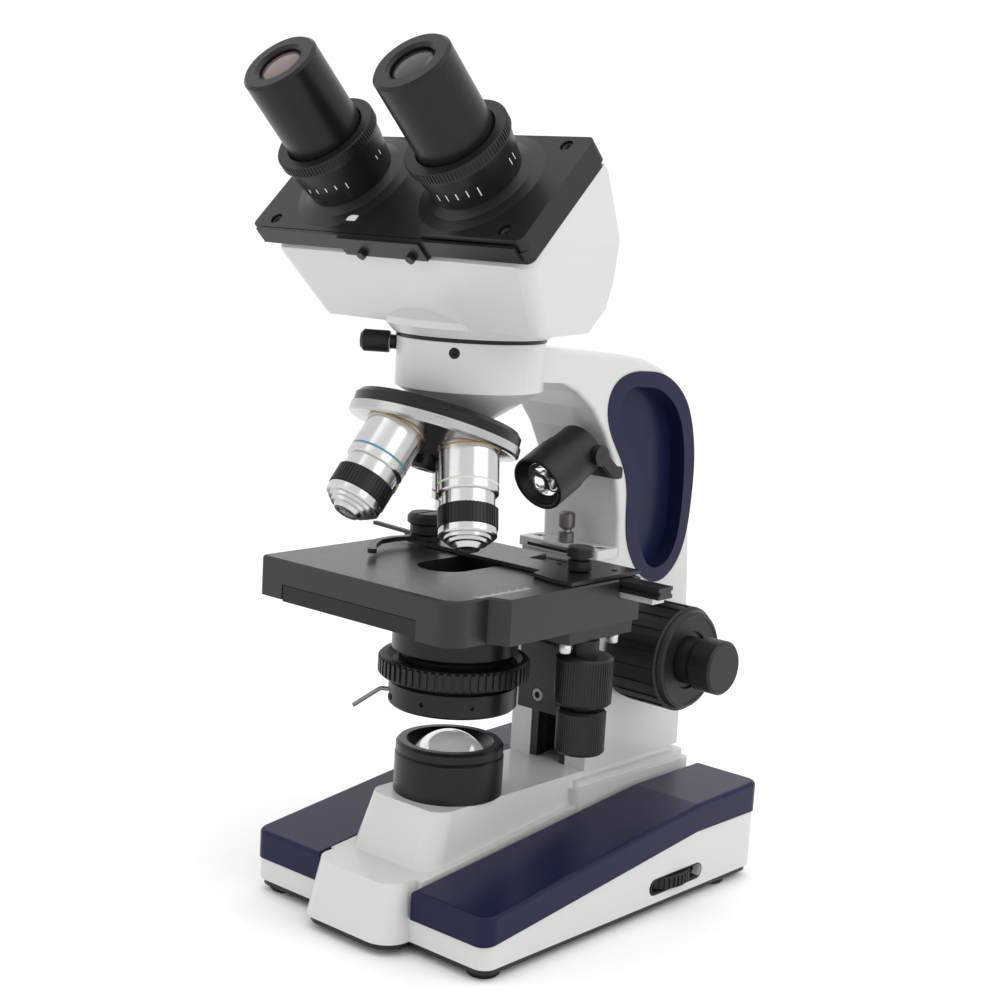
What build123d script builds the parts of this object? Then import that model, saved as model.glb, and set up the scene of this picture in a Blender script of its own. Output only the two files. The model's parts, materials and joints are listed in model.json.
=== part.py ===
"""Binocular compound microscope: stand, focusing stage, nosepiece, head and lights."""
import os
from math import cos, hypot, pi, radians, sin, tan

from build123d import *

os.makedirs("parts", exist_ok=True)

# ---------------------------------------------------------------- overall
# Sizes are in mm, +Z up, +X to the right seen from the eyepieces' side.
# Heights are above the bench; front/back sizes are from the optical axis.
EYE_REACH = 91.4          # optical axis to the front of the eyepieces
BASE_BACK = 140.3         # optical axis to the back of the base
AXIS_Y = (EYE_REACH - BASE_BACK) / 2
GAP = 0.35                # clearance between parts that move on each other
RUN = 0.05                # radial clearance of a shaft in its bore

# ---------------------------------------------------------------- base
BASE_HALF_W = 68.3
BASE_FRONT = -47.8
FOOT_H = 3.0
PLATE_TOP = 5.6
COVER_LOW_FRONT = 15.2
COVER_LOW_BACK = 31.9
COVER_TOP_FRONT = 27.6
COVER_TOP_BACK = 44.6
KINK_Y = 92.0
COVER_IN_FRONT = 26.9
COVER_IN_BACK = 32.3
COVER_PROUD = 0.5
WING_CORNER_R = 6.0
COVER_EDGE_R = 1.8
WALL = 4.0
NOSE_FRONT = -61.0
NOSE_TOP_FRONT = -56.5
NOSE_HALF_W = 27.0
NOSE_TOP_Z = 29.8
HUMP_TOP_Z = 53.3
HUMP_FOOT_FRONT = -37.0
HUMP_TOP_FRONT = -27.5
HUMP_FOOT_HALF = 24.6
HUMP_TOP_HALF = 21.5
FOOT_R = 6.8
FOOT_X = 59.0
FOOT_FRONT_Y = -38.0
FOOT_BACK_Y = 118.0

# ---------------------------------------------------------------- dial and inlet
DIAL_R = 20.0
DIAL_T = 5.6
DIAL_Z = 13.0
DIAL_Y = 79.0
DIAL_PROUD = 3.0
DIAL_RIBS = 48
SLOT_LEN = 38.0
SLOT_H = 7.6
JACK_X = -30.0
JACK_Z = 20.0
JACK_R = 5.5
JACK_HOLE_R = 2.75

# ---------------------------------------------------------------- field lens
COLLECTOR_R = 23.5
COLLECTOR_TOP = 75.7
COLLECTOR_SEAM = 70.6
RIM_R = 18.9
LENS_R = 14.6
LENS_SEAT_Z = 70.4
LENS_APEX_Z = 79.6

# ---------------------------------------------------------------- arm
ARM_HALF_W = 22.2
ARM_OUTLINE = [
    (17.0, 246.3), (44.5, 243.9), (72.4, 241.9), (91.1, 239.3), (105.0, 234.5),
    (115.2, 228.0), (123.0, 219.5), (127.8, 209.0), (131.0, 190.0), (136.2, 145.4),
    (138.2, 121.4), (138.8, HUMP_TOP_Z), (66.6, HUMP_TOP_Z), (66.6, 150.6), (80.3, 150.6),
    (80.3, 156.5), (79.6, 168.0), (77.2, 181.0), (72.4, 195.5), (65.6, 207.5),
    (56.6, 218.0), (45.5, 225.6), (32.6, 230.6), (17.0, 231.6),
]
GRIP_OUTER = [
    (89.7, 233.9), (78.0, 232.6), (70.4, 228.4), (66.5, 220.2), (67.6, 211.5), (72.5, 202.5),
    (79.5, 192.5), (83.6, 182.0), (84.5, 170.0), (85.9, 159.0), (91.5, 147.5), (101.5, 138.4),
    (111.4, 135.8), (120.0, 138.8), (127.5, 146.5), (131.8, 157.5), (133.9, 174.0),
    (133.6, 193.9), (130.6, 207.0), (124.6, 219.0), (115.0, 227.6), (103.0, 232.6),
]
GRIP_INNER = [
    (88.4, 228.6), (79.0, 226.8), (73.9, 221.7), (73.6, 214.5), (78.3, 205.5), (86.6, 194.0),
    (91.6, 183.5), (92.6, 171.0), (93.4, 159.0), (97.8, 148.4), (104.5, 141.9), (111.5, 141.0),
    (118.5, 143.6), (123.9, 150.0), (127.2, 161.0), (128.2, 176.0), (127.4, 192.0),
    (124.4, 206.0), (118.6, 216.5), (110.3, 223.4), (100.0, 227.6),
]
GRIP_DEPTH = 9.0
GRIP_RIM_DEPTH = 1.6
INSERT_T = 1.6
GRIP_PROUD = 0.5
CHANNEL_HALF_W = 10.6
CHANNEL_BACK = 88.0
RAIL_TOP = 150.6
HEAD_CYL_R = 31.0
HEAD_CYL_TOP = 248.2
HEAD_CYL_LOW = 228.0
HEAD_CONE_R = 9.5
HEAD_CONE_LOW = 214.0
SEAT_RING_R = 31.4
SEAT_RING_T = 1.3
SET_SCREW_Z = 244.0

# ---------------------------------------------------------------- stop plate
STOP_PLATE_FRONT = 64.6
STOP_PLATE_HALF_W = 23.0
STOP_PLATE_TOP = 154.8
STOP_SCREW_Y = 70.5
STOP_STUD_R = 1.9
STOP_NUT_R = 3.6
STOP_HEAD_R = 3.7
STOP_HEAD_Z = 161.4
STOP_HEAD_TOP = 168.5
PLATE_SCREW_X = 17.5
PLATE_SCREW_Y = 73.5

# ---------------------------------------------------------------- focus drive
SLIDE_HALF_W = 8.2
SLIDE_NECK_HALF = 6.4
SLIDE_LOW = 78.5
SLIDE_TOP = 134.0
SLIDE_BACK = 84.0
BRACKET_HALF_W = 11.2
BRACKET_FRONT = 57.0
BRACKET_SCREW_Z = 85.6
KNOB_Y = 97.5
KNOB_Z = 107.0
COARSE_R = 23.8
COARSE_IN = 22.9
COARSE_OUT = 54.5
COARSE_RIBS = 20
COARSE_TUBE_R = 6.0
FINE_R = 12.2
FINE_NECK_R = 10.8
FINE_IN = 55.0
FINE_OUT = 72.5
FINE_SHAFT_R = 3.5

# ---------------------------------------------------------------- stage
STAGE_TOP = 152.5
STAGE_LOW = 135.6
STAGE_FLANK_LOW = 133.8
STAGE_LEFT = -60.6
STAGE_NEAR_RIGHT = 51.0
STAGE_RIGHT = 60.0
STAGE_FRONT = -57.7
STAGE_STEP_Y = -38.0
STAGE_BACK = 48.0
STAGE_CORNER_R = 9.0
SLOT_HALF_W = 12.0
SLOT_FRONT = -20.0
SLOT_BACK = 25.0
CARRIAGE_LEFT = -46.6
CARRIAGE_RIGHT = 30.6
CARRIAGE_TOP = 141.7
CARRIAGE_LOW = 134.9
CARRIAGE_HOLE_R = 20.5
BAR_FRONT = 34.0
BAR_BACK = 43.6
BAR_TOP = 152.2
BAR_LOW = 147.3
RACK_LOW = 144.8
BAR_LEFT = -66.0
BAR_RIGHT = 80.0
BLOCK_LEFT = 38.0
BLOCK_RIGHT = 59.0
BLOCK_FRONT = 3.0
BLOCK_BACK = 46.0
BLOCK_LOW = 128.6

# ---------------------------------------------------------------- stage drive knobs
DRIVE_X = 55.0
DRIVE_Y = 20.0
DRIVE_SHAFT_R = 3.0
DRIVE_NECK_R = 5.6
Y_KNOB_R = 12.1
Y_KNOB_LOW = 101.0
Y_KNOB_TOP = 121.5
X_KNOB_R = 10.4
X_KNOB_LOW = 80.0
X_KNOB_TOP = 98.6
DRIVE_RIBS = 60

# ---------------------------------------------------------------- slide holder
HOLDER_LOW = 152.9
HOLDER_TOP = 154.5
HOLDER_FRONT = 13.0
HOLDER_LEFT = -46.0
HOLDER_RIGHT = 58.5
POST_X = -39.5
POST_Y = 20.0
POST_R = 7.0
POST_TOP = 166.8
CLAMP_X = 45.0
CLAMP_Y = 25.0
CLAMP_R = 5.2
FINGER_TIP = (-29.5, -23.0)
LEVER_END = (-76.5, 25.0)

# ---------------------------------------------------------------- condenser
CARRIER_R = 27.0
CARRIER_LOW = 116.4
CARRIER_BORE_R = 20.0
COND_RING_R = 32.5
COND_RING_LOW = 104.6
COND_RING_TOP = 113.2
COND_RING_RIBS = 60
COND_R = 27.6
COND_LOW = 91.8
COND_TOP = 101.8
COND_NECK_R = 24.0
COND_TUBE_R = 19.6
COND_LENS_R = 8.5
COND_LENS_TOP = 148.5
IRIS_Z = 95.4

# ---------------------------------------------------------------- nosepiece
TILT = radians(20)
TURRET_Y = -20.3
TURRET_Z = 208.4
TURRET_R = 36.2
TURRET_TOP_H = -10.2
SEAT_BOSS_R = 10.5
SEAT_BOSS_T = 7.0
CLICK_RING_H = -4.2
OBJ_PITCH_R = 21.6
CONE_R = 33.4
CONE_TIP_R = 7.5
CONE_TIP_H = (CONE_R - CONE_TIP_R) * tan(TILT)
SEAT_H = (CONE_R - OBJ_PITCH_R) * tan(TILT)
HUB_R = 6.2
HUB_TOP_H = 14.5
PIVOT_R = 5.0
BARREL_R = 12.4

# ---------------------------------------------------------------- head
HEAD_HALF_W = 74.6
PLATE_FRONT = -57.4
PLATE_FRONT_Z = 289.1
PLATE_SLANT = 56.6
TRAY_DEPTH = 10.2
LIP_T = 1.4
CLIP_X = 0.2
CLIP_W = 45.0
CLIP_SCREW_X = (-11.8, 15.0)
PLATE_HOLE_X = 63.5
PLATE_HOLE_S = 5.4
SLIDE_T = 2.9
HEAD_CORNER_R = 6.0
COLLAR_R = 36.0
COLLAR_LOW_R = 32.4
COLLAR_Z = 253.5
COLLAR_LOW_Z = 249.9
HEAD_SIDE = [
    (-48.05, 283.95), (-49.0, 281.0), (-27.5, 254.0), (0.6, 255.6), (6.6, 265.5), (5.8, 277.0),
    (0.2, 297.0), (-6.0, 313.0), (-8.6, 319.0), (-10.9, 321.1),
]
HEAD_FRONT = [
    (-60.2, 253.0), (60.2, 253.0), (72.8, 292.0), (72.8, 330.0), (-72.8, 330.0), (-72.8, 292.0),
]
EYE_HALF_SPACING = 35.6
EYE_SLANT = 29.2
SEAM_X = 21.7
BOSS_R = 27.0
SLEEVE_LOW_R = 18.3
SLEEVE_R = 20.4
SLEEVE_TOP = 20.6
DIOPTER_R = 21.5
DIOPTER_LOW = 21.0
DIOPTER_TOP = 25.2
EYE_R = 16.0
EYE_TOP = 61.3
EYE_OPEN_R = 9.1
CLAMP_ANGLE = radians(215)
CLAMP_Z = 244.6
CLAMP_HEAD_R = 4.6
SET_SCREW_ANGLE = radians(300)

# ---------------------------------------------------------------- upper lamp
LAMP_X = 13.0
LAMP_PIVOT_Y = 58.0
LAMP_PIVOT_Z = 198.5
LAMP_TILT = radians(26)
LAMP_R = 12.7
LAMP_FRONT_S = -28.2
LAMP_BACK_S = 5.5
EAR_IN = 12.0
EAR_T = 2.6
LAMP_BAR_Z = 190.0
BAR_STUD_FRONT = 70.0
LAMP_STUD_R = 3.0
LAMP_STUD_LEN = 9.5


def level(z):
    """Horizontal plane at height z, centred on the optical axis."""
    return Plane(origin=(0, AXIS_Y, z))


def side(x):
    """Vertical plane facing +X; its local axes are row Y and Z."""
    return Plane(origin=(x, AXIS_Y, 0), x_dir=(0, 1, 0), z_dir=(1, 0, 0))


def face_on(y):
    """Vertical plane facing -Y; its local axes are row X and Z."""
    return Plane(origin=(0, AXIS_Y + y, 0), x_dir=(1, 0, 0), z_dir=(0, -1, 0))


def knob_plane(x):
    """Plane across the focus knobs' common axis at x."""
    return Plane(origin=(x, AXIS_Y + KNOB_Y, KNOB_Z), x_dir=(0, 1, 0), z_dir=(1, 0, 0))


def turret_plane(h=0.0):
    """Plane across the nosepiece axis, h below its reference plane."""
    origin = (0, AXIS_Y + TURRET_Y - h * sin(TILT), TURRET_Z - h * cos(TILT))
    return Plane(origin=origin, x_dir=(1, 0, 0), z_dir=(0, -sin(TILT), -cos(TILT)))


def objective_plane(turn):
    """Seat plane of the objective that is turn degrees round from the working place."""
    a = radians(turn)
    out = Vector(sin(a), cos(a) * cos(TILT), -cos(a) * sin(TILT))
    down = Vector(0, -sin(TILT), -cos(TILT))
    centre = Vector(0, AXIS_Y + TURRET_Y, TURRET_Z)
    origin = centre + down * SEAT_H + out * OBJ_PITCH_R
    axis = down * cos(TILT) + out * sin(TILT)
    across = Vector(cos(a), -sin(a) * cos(TILT), sin(a) * sin(TILT))
    return Plane(origin=origin, x_dir=across, z_dir=axis)


def head_plane(h=0.0):
    """Plane of the sloping head top; local y runs up the slope."""
    c = cos(pi / 4)
    origin = (0, AXIS_Y + PLATE_FRONT - c * h, PLATE_FRONT_Z + c * h)
    return Plane(origin=origin, x_dir=(1, 0, 0), z_dir=(0, -c, c))


def eye_plane(sign, h=0.0):
    """Plane across one eyepiece axis, h out from the head top."""
    base = head_plane(h)
    origin = base.origin + Vector(sign * EYE_HALF_SPACING, 0, 0) + base.y_dir * EYE_SLANT
    return Plane(origin=origin, x_dir=(1, 0, 0), z_dir=base.z_dir)


def lamp_plane(s=0.0):
    """Plane across the upper lamp's axis; s runs from the pivot towards the back."""
    back = Vector(0, cos(LAMP_TILT), sin(LAMP_TILT))
    origin = Vector(LAMP_X, AXIS_Y + LAMP_PIVOT_Y, LAMP_PIVOT_Z) + back * s
    return Plane(origin=origin, x_dir=(1, 0, 0), z_dir=back)


def profile_plane(plane):
    """Plane holding a revolve profile: local x is radius, local y is the plane's normal."""
    return Plane(origin=plane.origin, x_dir=plane.x_dir, z_dir=-plane.y_dir)


def turned(plane, points, mode=Mode.ADD):
    """Add a body of revolution from (radius, height) points about the plane's normal."""
    with BuildSketch(profile_plane(plane)) as profile:
        Polygon(*points, align=None)
    revolve(profile.sketch, axis=Axis(plane.origin, plane.z_dir), mode=mode)


def flutes(plane, radius, count, depth, height, mode=Mode.SUBTRACT):
    """Cut count shallow flutes round a rim, or add count ribs to it."""
    with BuildSketch(plane) as cuts:
        with PolarLocations(radius, count):
            Rectangle(depth, pi * radius / count)
    extrude(cuts.sketch, amount=height, mode=mode)


def disc(plane, radius, height, mode=Mode.ADD):
    """Add or cut a straight cylinder that stands on the plane."""
    with BuildSketch(plane) as round_face:
        Circle(radius)
    extrude(round_face.sketch, amount=height, mode=mode)


def ribbon(points, half):
    """Outline of a strip of width 2 x half that follows points."""
    left, right = [], []
    for i, (x, y) in enumerate(points):
        x0, y0 = points[max(i - 1, 0)]
        x1, y1 = points[min(i + 1, len(points) - 1)]
        run = hypot(x1 - x0, y1 - y0)
        nx, ny = -(y1 - y0) / run, (x1 - x0) / run
        left.append((x + nx * half, y + ny * half))
        right.append((x - nx * half, y - ny * half))
    return left + right[::-1]


def inset(points, depth):
    """Closed loop of points moved depth towards the inside (for a counter-clockwise loop)."""
    moved = []
    for i, (x, y) in enumerate(points):
        x0, y0 = points[i - 1]
        x1, y1 = points[(i + 1) % len(points)]
        run = hypot(x1 - x0, y1 - y0)
        moved.append((x - (y1 - y0) / run * depth, y + (x1 - x0) / run * depth))
    return moved


def polygon(points):
    """Face from straight edges through points."""
    Polygon(*points, align=None)


def save(part, label):
    """Name a sub-part and write its STEP file."""
    part.label = label
    export_step(part, f"parts/{label}.step")


# ================================================================ base
def cover_low(y):
    """Height of a wing cover's lower edge."""
    slope = (COVER_LOW_BACK - COVER_LOW_FRONT) / (KINK_Y - BASE_FRONT)
    return COVER_LOW_FRONT + slope * (min(y, KINK_Y) - BASE_FRONT)


WING_SIDE = [
    (BASE_FRONT, PLATE_TOP), (BASE_BACK, PLATE_TOP), (BASE_BACK, COVER_LOW_BACK),
    (KINK_Y, COVER_LOW_BACK), (BASE_FRONT, COVER_LOW_FRONT),
]
POCKET_SIDE = [
    (BASE_FRONT + WALL, PLATE_TOP), (BASE_BACK - WALL, PLATE_TOP),
    (BASE_BACK - WALL, COVER_LOW_BACK - WALL), (KINK_Y, COVER_LOW_BACK - WALL),
    (BASE_FRONT + WALL, cover_low(BASE_FRONT + WALL) - WALL),
]
BASE_LEN = BASE_BACK - BASE_FRONT
BASE_MID = (BASE_BACK + BASE_FRONT) / 2
STEP_TOPS = [(2.6, 50.6), (6.0, 47.6)]
DIAL_X = BASE_HALF_W + DIAL_PROUD - DIAL_R

with BuildPart() as base_casting:
    with BuildSketch(side(-BASE_HALF_W)):
        polygon(WING_SIDE)
    extrude(amount=2 * BASE_HALF_W)
    corners = base_casting.edges().filter_by(Axis.Z)
    fillet(corners, WING_CORNER_R)
    # centre spine between the two covers, stepped up round the pillar foot
    with BuildSketch(side(-COVER_IN_FRONT)):
        polygon([
            (BASE_FRONT + 6, PLATE_TOP), (BASE_BACK, PLATE_TOP), (BASE_BACK, COVER_TOP_BACK),
            (KINK_Y, COVER_TOP_BACK), (BASE_FRONT + 6, NOSE_TOP_Z - 0.6),
        ])
    extrude(amount=2 * COVER_IN_FRONT)
    with BuildSketch(level(PLATE_TOP)):
        with Locations((0, (NOSE_FRONT - 20) / 2)):
            RectangleRounded(2 * NOSE_HALF_W, -20 - NOSE_FRONT, 11)
    with BuildSketch(level(NOSE_TOP_Z)):
        with Locations((0, (NOSE_TOP_FRONT - 20) / 2)):
            RectangleRounded(2 * (NOSE_HALF_W - 3.4), -20 - NOSE_TOP_FRONT, 10)
    loft()
    with BuildSketch(level(NOSE_TOP_Z - 2)):
        with Locations((0, (HUMP_FOOT_FRONT + BASE_BACK) / 2)):
            RectangleRounded(2 * HUMP_FOOT_HALF, BASE_BACK - HUMP_FOOT_FRONT, 9)
    with BuildSketch(level(HUMP_TOP_Z)):
        with Locations((0, (HUMP_TOP_FRONT + BASE_BACK - 1) / 2)):
            RectangleRounded(2 * HUMP_TOP_HALF, BASE_BACK - 1 - HUMP_TOP_FRONT, 8)
    loft()
    for grow, top in STEP_TOPS:
        with BuildSketch(level(COVER_LOW_BACK)):
            with Locations((0, (KINK_Y - 30 - grow + BASE_BACK) / 2)):
                RectangleRounded(2 * (ARM_HALF_W + grow), BASE_BACK - KINK_Y + 30 + grow, 3)
        extrude(amount=top - COVER_LOW_BACK)
    # hollow under the wings
    for x0 in (-BASE_HALF_W + WALL, WALL):
        with BuildSketch(side(x0)):
            polygon(POCKET_SIDE)
        extrude(amount=BASE_HALF_W - 2 * WALL, mode=Mode.SUBTRACT)
    # slot and well of the brightness dial
    with BuildSketch(side(BASE_HALF_W - WALL - 1)):
        with Locations((DIAL_Y - 1, DIAL_Z)):
            SlotOverall(SLOT_LEN, SLOT_H)
    extrude(amount=WALL + 2, mode=Mode.SUBTRACT)
    # power inlet opening at the back
    with BuildSketch(face_on(BASE_BACK + 1)):
        with Locations((JACK_X, JACK_Z)):
            Circle(JACK_R)
    extrude(amount=WALL + 2, mode=Mode.SUBTRACT)
save(base_casting.part, "base_casting")


def build_cover(sign, label):
    """One painted cover lying on a wing of the base."""
    out = BASE_HALF_W + COVER_PROUD
    front = BASE_FRONT - COVER_PROUD
    back = BASE_BACK + COVER_PROUD - 0.2
    rise = (COVER_TOP_BACK - COVER_TOP_FRONT) / (KINK_Y - BASE_FRONT)
    with BuildPart() as cover:
        with BuildSketch(side(-out)):
            polygon([
                (front, COVER_LOW_FRONT), (KINK_Y, COVER_LOW_BACK), (back, COVER_LOW_BACK),
                (back, COVER_TOP_BACK + 1.4), (KINK_Y, COVER_TOP_BACK), (front, COVER_TOP_FRONT),
            ])
        extrude(amount=2 * out)
        with BuildSketch(level(0)):
            polygon([
                (sign * (COVER_IN_FRONT + GAP), front), (sign * out, front), (sign * out, back),
                (sign * (COVER_IN_BACK + GAP), back),
            ])
        extrude(amount=COVER_TOP_BACK + 10, mode=Mode.INTERSECT)
        outer = cover.edges().filter_by(Axis.Z).sort_by(Axis.X)
        outer = outer[-2:] if sign > 0 else outer[:2]
        fillet(outer, WING_CORNER_R)
        top = cover.faces().filter_by(lambda f: f.normal_at().Z > 0.9)
        kink = AXIS_Y + KINK_Y
        rims = top.edges().filter_by(lambda e: abs(e.center().Y - kink) > 1.0)
        fillet(rims, COVER_EDGE_R)
    save(cover.part, label)


build_cover(-1, "left_wing_cover")
build_cover(1, "right_wing_cover")


with BuildPart() as base_plate:
    margin = 1.2
    with BuildSketch(level(FOOT_H)):
        with Locations((0, BASE_MID)):
            RectangleRounded(2 * (BASE_HALF_W - margin), BASE_LEN - 2 * margin, WING_CORNER_R)
        with Locations((0, (NOSE_FRONT + margin - 20) / 2)):
            RectangleRounded(2 * (NOSE_HALF_W - margin), -20 - NOSE_FRONT - margin, 11)
    extrude(amount=PLATE_TOP - FOOT_H)
save(base_plate.part, "base_plate")

with BuildPart() as rubber_feet:
    for y in (FOOT_FRONT_Y, FOOT_BACK_Y):
        for x in (-FOOT_X, FOOT_X):
            foot = Plane(origin=(x, AXIS_Y + y, 0))
            turned(foot, [(0, 0), (FOOT_R - 0.8, 0), (FOOT_R, 0.8), (FOOT_R, FOOT_H), (0, FOOT_H)])
save(rubber_feet.part, "rubber_feet")

with BuildPart() as power_inlet:
    jack = Plane(origin=(JACK_X, AXIS_Y + BASE_BACK - WALL - 6, JACK_Z), x_dir=(1, 0, 0), z_dir=(0, 1, 0))
    depth = WALL + 6
    turned(jack, [
        (0, 0), (JACK_R - RUN, 0), (JACK_R - RUN, depth), (JACK_R + 1.2, depth),
        (JACK_R + 1.2, depth + 0.8), (JACK_HOLE_R, depth + 0.8), (JACK_HOLE_R, 2),
        (1.0, 2), (1.0, depth - 1.5), (0, depth - 1.5),
    ])
save(power_inlet.part, "power_inlet")

with BuildPart() as brightness_dial:
    wheel = Plane(origin=(DIAL_X, AXIS_Y + DIAL_Y, DIAL_Z - DIAL_T / 2))
    turned(wheel, [
        (0, 0), (DIAL_R - 0.8, 0), (DIAL_R, 0.8), (DIAL_R, DIAL_T - 0.8),
        (DIAL_R - 0.8, DIAL_T), (0, DIAL_T),
    ])
    flutes(wheel, DIAL_R, DIAL_RIBS, 1.2, DIAL_T)
save(brightness_dial.part, "brightness_dial")

# ================================================================ field lens
with BuildPart() as collector_housing:
    groove = 0.7
    turned(level(HUMP_TOP_Z), [
        (0, 0), (COLLECTOR_R, 0), (COLLECTOR_R, COLLECTOR_SEAM - HUMP_TOP_Z - groove),
        (COLLECTOR_R - groove, COLLECTOR_SEAM - HUMP_TOP_Z),
        (COLLECTOR_R - 0.3, COLLECTOR_SEAM - HUMP_TOP_Z + groove),
        (COLLECTOR_R - 0.3, COLLECTOR_TOP - HUMP_TOP_Z - 1.2),
        (COLLECTOR_R - 1.5, COLLECTOR_TOP - HUMP_TOP_Z), (RIM_R, COLLECTOR_TOP - HUMP_TOP_Z),
        (LENS_R + 0.4, LENS_SEAT_Z + 1.4 - HUMP_TOP_Z), (LENS_R + 0.4, LENS_SEAT_Z - HUMP_TOP_Z),
        (0, LENS_SEAT_Z - HUMP_TOP_Z),
    ])
save(collector_housing.part, "collector_housing")

with BuildPart() as field_lens:
    rise = LENS_APEX_Z - LENS_SEAT_Z - 1.5
    ball_r = (LENS_R ** 2 + rise ** 2) / (2 * rise)
    disc(level(LENS_SEAT_Z), LENS_R, 1.5)
    with BuildSketch(side(0)):
        with Locations((0, LENS_APEX_Z - ball_r)):
            Circle(ball_r)
        with Locations((-ball_r, LENS_APEX_Z - ball_r)):
            Rectangle(2 * ball_r, 2 * ball_r + 1, mode=Mode.SUBTRACT)
        with Locations((0, LENS_SEAT_Z + 1.5 - ball_r)):
            Rectangle(3 * ball_r, 2 * ball_r, mode=Mode.SUBTRACT)
    revolve(axis=Axis((0, AXIS_Y, 0), (0, 0, 1)))
save(field_lens.part, "field_lens")

# ================================================================ arm
SEAT_CUT = 80.0

with BuildPart() as arm_casting:
    with BuildSketch(side(-ARM_HALF_W)):
        polygon(ARM_OUTLINE)
    extrude(amount=2 * ARM_HALF_W)
    soft = arm_casting.edges().filter_by(lambda e: e.center().Z > RAIL_TOP + 2)
    soft = soft.filter_by(lambda e: abs(abs(e.center().X) - ARM_HALF_W) < 0.01)
    soft = soft.filter_by(lambda e: e.center().Y > AXIS_Y + HEAD_CYL_R)
    fillet(soft, 2.0)
    turned(level(HEAD_CONE_LOW), [
        (0, 0), (HEAD_CONE_R, 0), (HEAD_CYL_R, HEAD_CYL_LOW - HEAD_CONE_LOW),
        (HEAD_CYL_R, HEAD_CYL_TOP - HEAD_CONE_LOW), (0, HEAD_CYL_TOP - HEAD_CONE_LOW),
    ])
    # seat of the nosepiece
    disc(turret_plane(TURRET_TOP_H - SEAT_BOSS_T), SEAT_BOSS_R, SEAT_BOSS_T - 0.6)
    with BuildSketch(turret_plane(TURRET_TOP_H - 0.6)):
        Rectangle(SEAT_CUT, SEAT_CUT)
    extrude(amount=SEAT_CUT / 2, mode=Mode.SUBTRACT)
    # head bore and light path
    disc(level(HEAD_CYL_TOP - 6), 24.0, 7, mode=Mode.SUBTRACT)
    disc(level(HEAD_CONE_LOW - 2), 9.0, 40, mode=Mode.SUBTRACT)
    # channel of the focusing slide
    with BuildSketch(level(HUMP_TOP_Z - 1)):
        with Locations((0, (CHANNEL_BACK + 60) / 2)):
            Rectangle(2 * CHANNEL_HALF_W, CHANNEL_BACK - 60)
    extrude(amount=RAIL_TOP - HUMP_TOP_Z + 2 - 6, mode=Mode.SUBTRACT)
    # focus shaft bore
    disc(knob_plane(-ARM_HALF_W - 1), COARSE_TUBE_R + RUN, 2 * ARM_HALF_W + 2, mode=Mode.SUBTRACT)
    # grip recesses
    for sign in (-1, 1):
        with BuildSketch(side(sign * ARM_HALF_W)) as rim:
            with BuildLine():
                Spline(*GRIP_OUTER, periodic=True)
            make_face()
        extrude(amount=-sign * GRIP_RIM_DEPTH, mode=Mode.SUBTRACT)
        with BuildSketch(side(sign * (ARM_HALF_W - GRIP_DEPTH))) as well:
            with BuildLine():
                Spline(*GRIP_INNER, periodic=True)
            make_face()
        extrude(amount=sign * GRIP_DEPTH, mode=Mode.SUBTRACT)
    # bores of the head clamp screw and the blind set screw
    clamp_axis = Vector(cos(CLAMP_ANGLE), sin(CLAMP_ANGLE), 0)
    clamp_hole = Plane(origin=(0, AXIS_Y, CLAMP_Z), x_dir=(0, 0, 1), z_dir=clamp_axis)
    disc(clamp_hole.offset(20), 2.0 + RUN, 20, mode=Mode.SUBTRACT)
    # bore of the stage stop screw
    with BuildSketch(level(RAIL_TOP - 8)):
        with Locations((0, STOP_SCREW_Y)):
            Circle(STOP_STUD_R + RUN)
    extrude(amount=9, mode=Mode.SUBTRACT)
    set_hole = Plane(
        origin=(0, AXIS_Y, SET_SCREW_Z), x_dir=(0, 0, 1),
        z_dir=(cos(SET_SCREW_ANGLE), sin(SET_SCREW_ANGLE), 0),
    )
    disc(set_hole.offset(HEAD_CYL_R - 2.5), 2.3, 4, mode=Mode.SUBTRACT)
    # pivot stud of the nosepiece and hole of the lamp bracket's stud
    disc(turret_plane(TURRET_TOP_H - 1.0), PIVOT_R, 6.0)
    with BuildSketch(face_on(BAR_STUD_FRONT)):
        with Locations((LAMP_X, LAMP_BAR_Z)):
            Circle(LAMP_STUD_R)
    extrude(amount=-LAMP_STUD_LEN, mode=Mode.SUBTRACT)
save(arm_casting.part, "arm_casting")


def build_insert(sign, label):
    """Painted insert lining one grip recess: rim, wall and floor."""
    floor = ARM_HALF_W - GRIP_DEPTH
    inside = inset(GRIP_INNER, INSERT_T)
    with BuildPart() as insert:
        with BuildSketch(side(sign * (ARM_HALF_W - GRIP_RIM_DEPTH))):
            with BuildLine():
                Spline(*GRIP_OUTER, periodic=True)
            make_face()
        extrude(amount=sign * (GRIP_RIM_DEPTH + GRIP_PROUD))
        with BuildSketch(side(sign * floor)):
            with BuildLine():
                Spline(*GRIP_INNER, periodic=True)
            make_face()
        extrude(amount=sign * (GRIP_DEPTH + GRIP_PROUD))
        with BuildSketch(side(sign * (floor + INSERT_T))):
            with BuildLine():
                Spline(*inside, periodic=True)
            make_face()
        extrude(amount=sign * (GRIP_DEPTH + 1.0), mode=Mode.SUBTRACT)
    save(insert.part, label)


build_insert(-1, "left_grip_insert")
build_insert(1, "right_grip_insert")

with BuildPart() as head_seat_ring:
    with BuildSketch(level(HEAD_CYL_TOP)):
        Circle(SEAT_RING_R)
        Circle(24.0, mode=Mode.SUBTRACT)
    extrude(amount=SEAT_RING_T)
save(head_seat_ring.part, "head_seat_ring")

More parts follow.
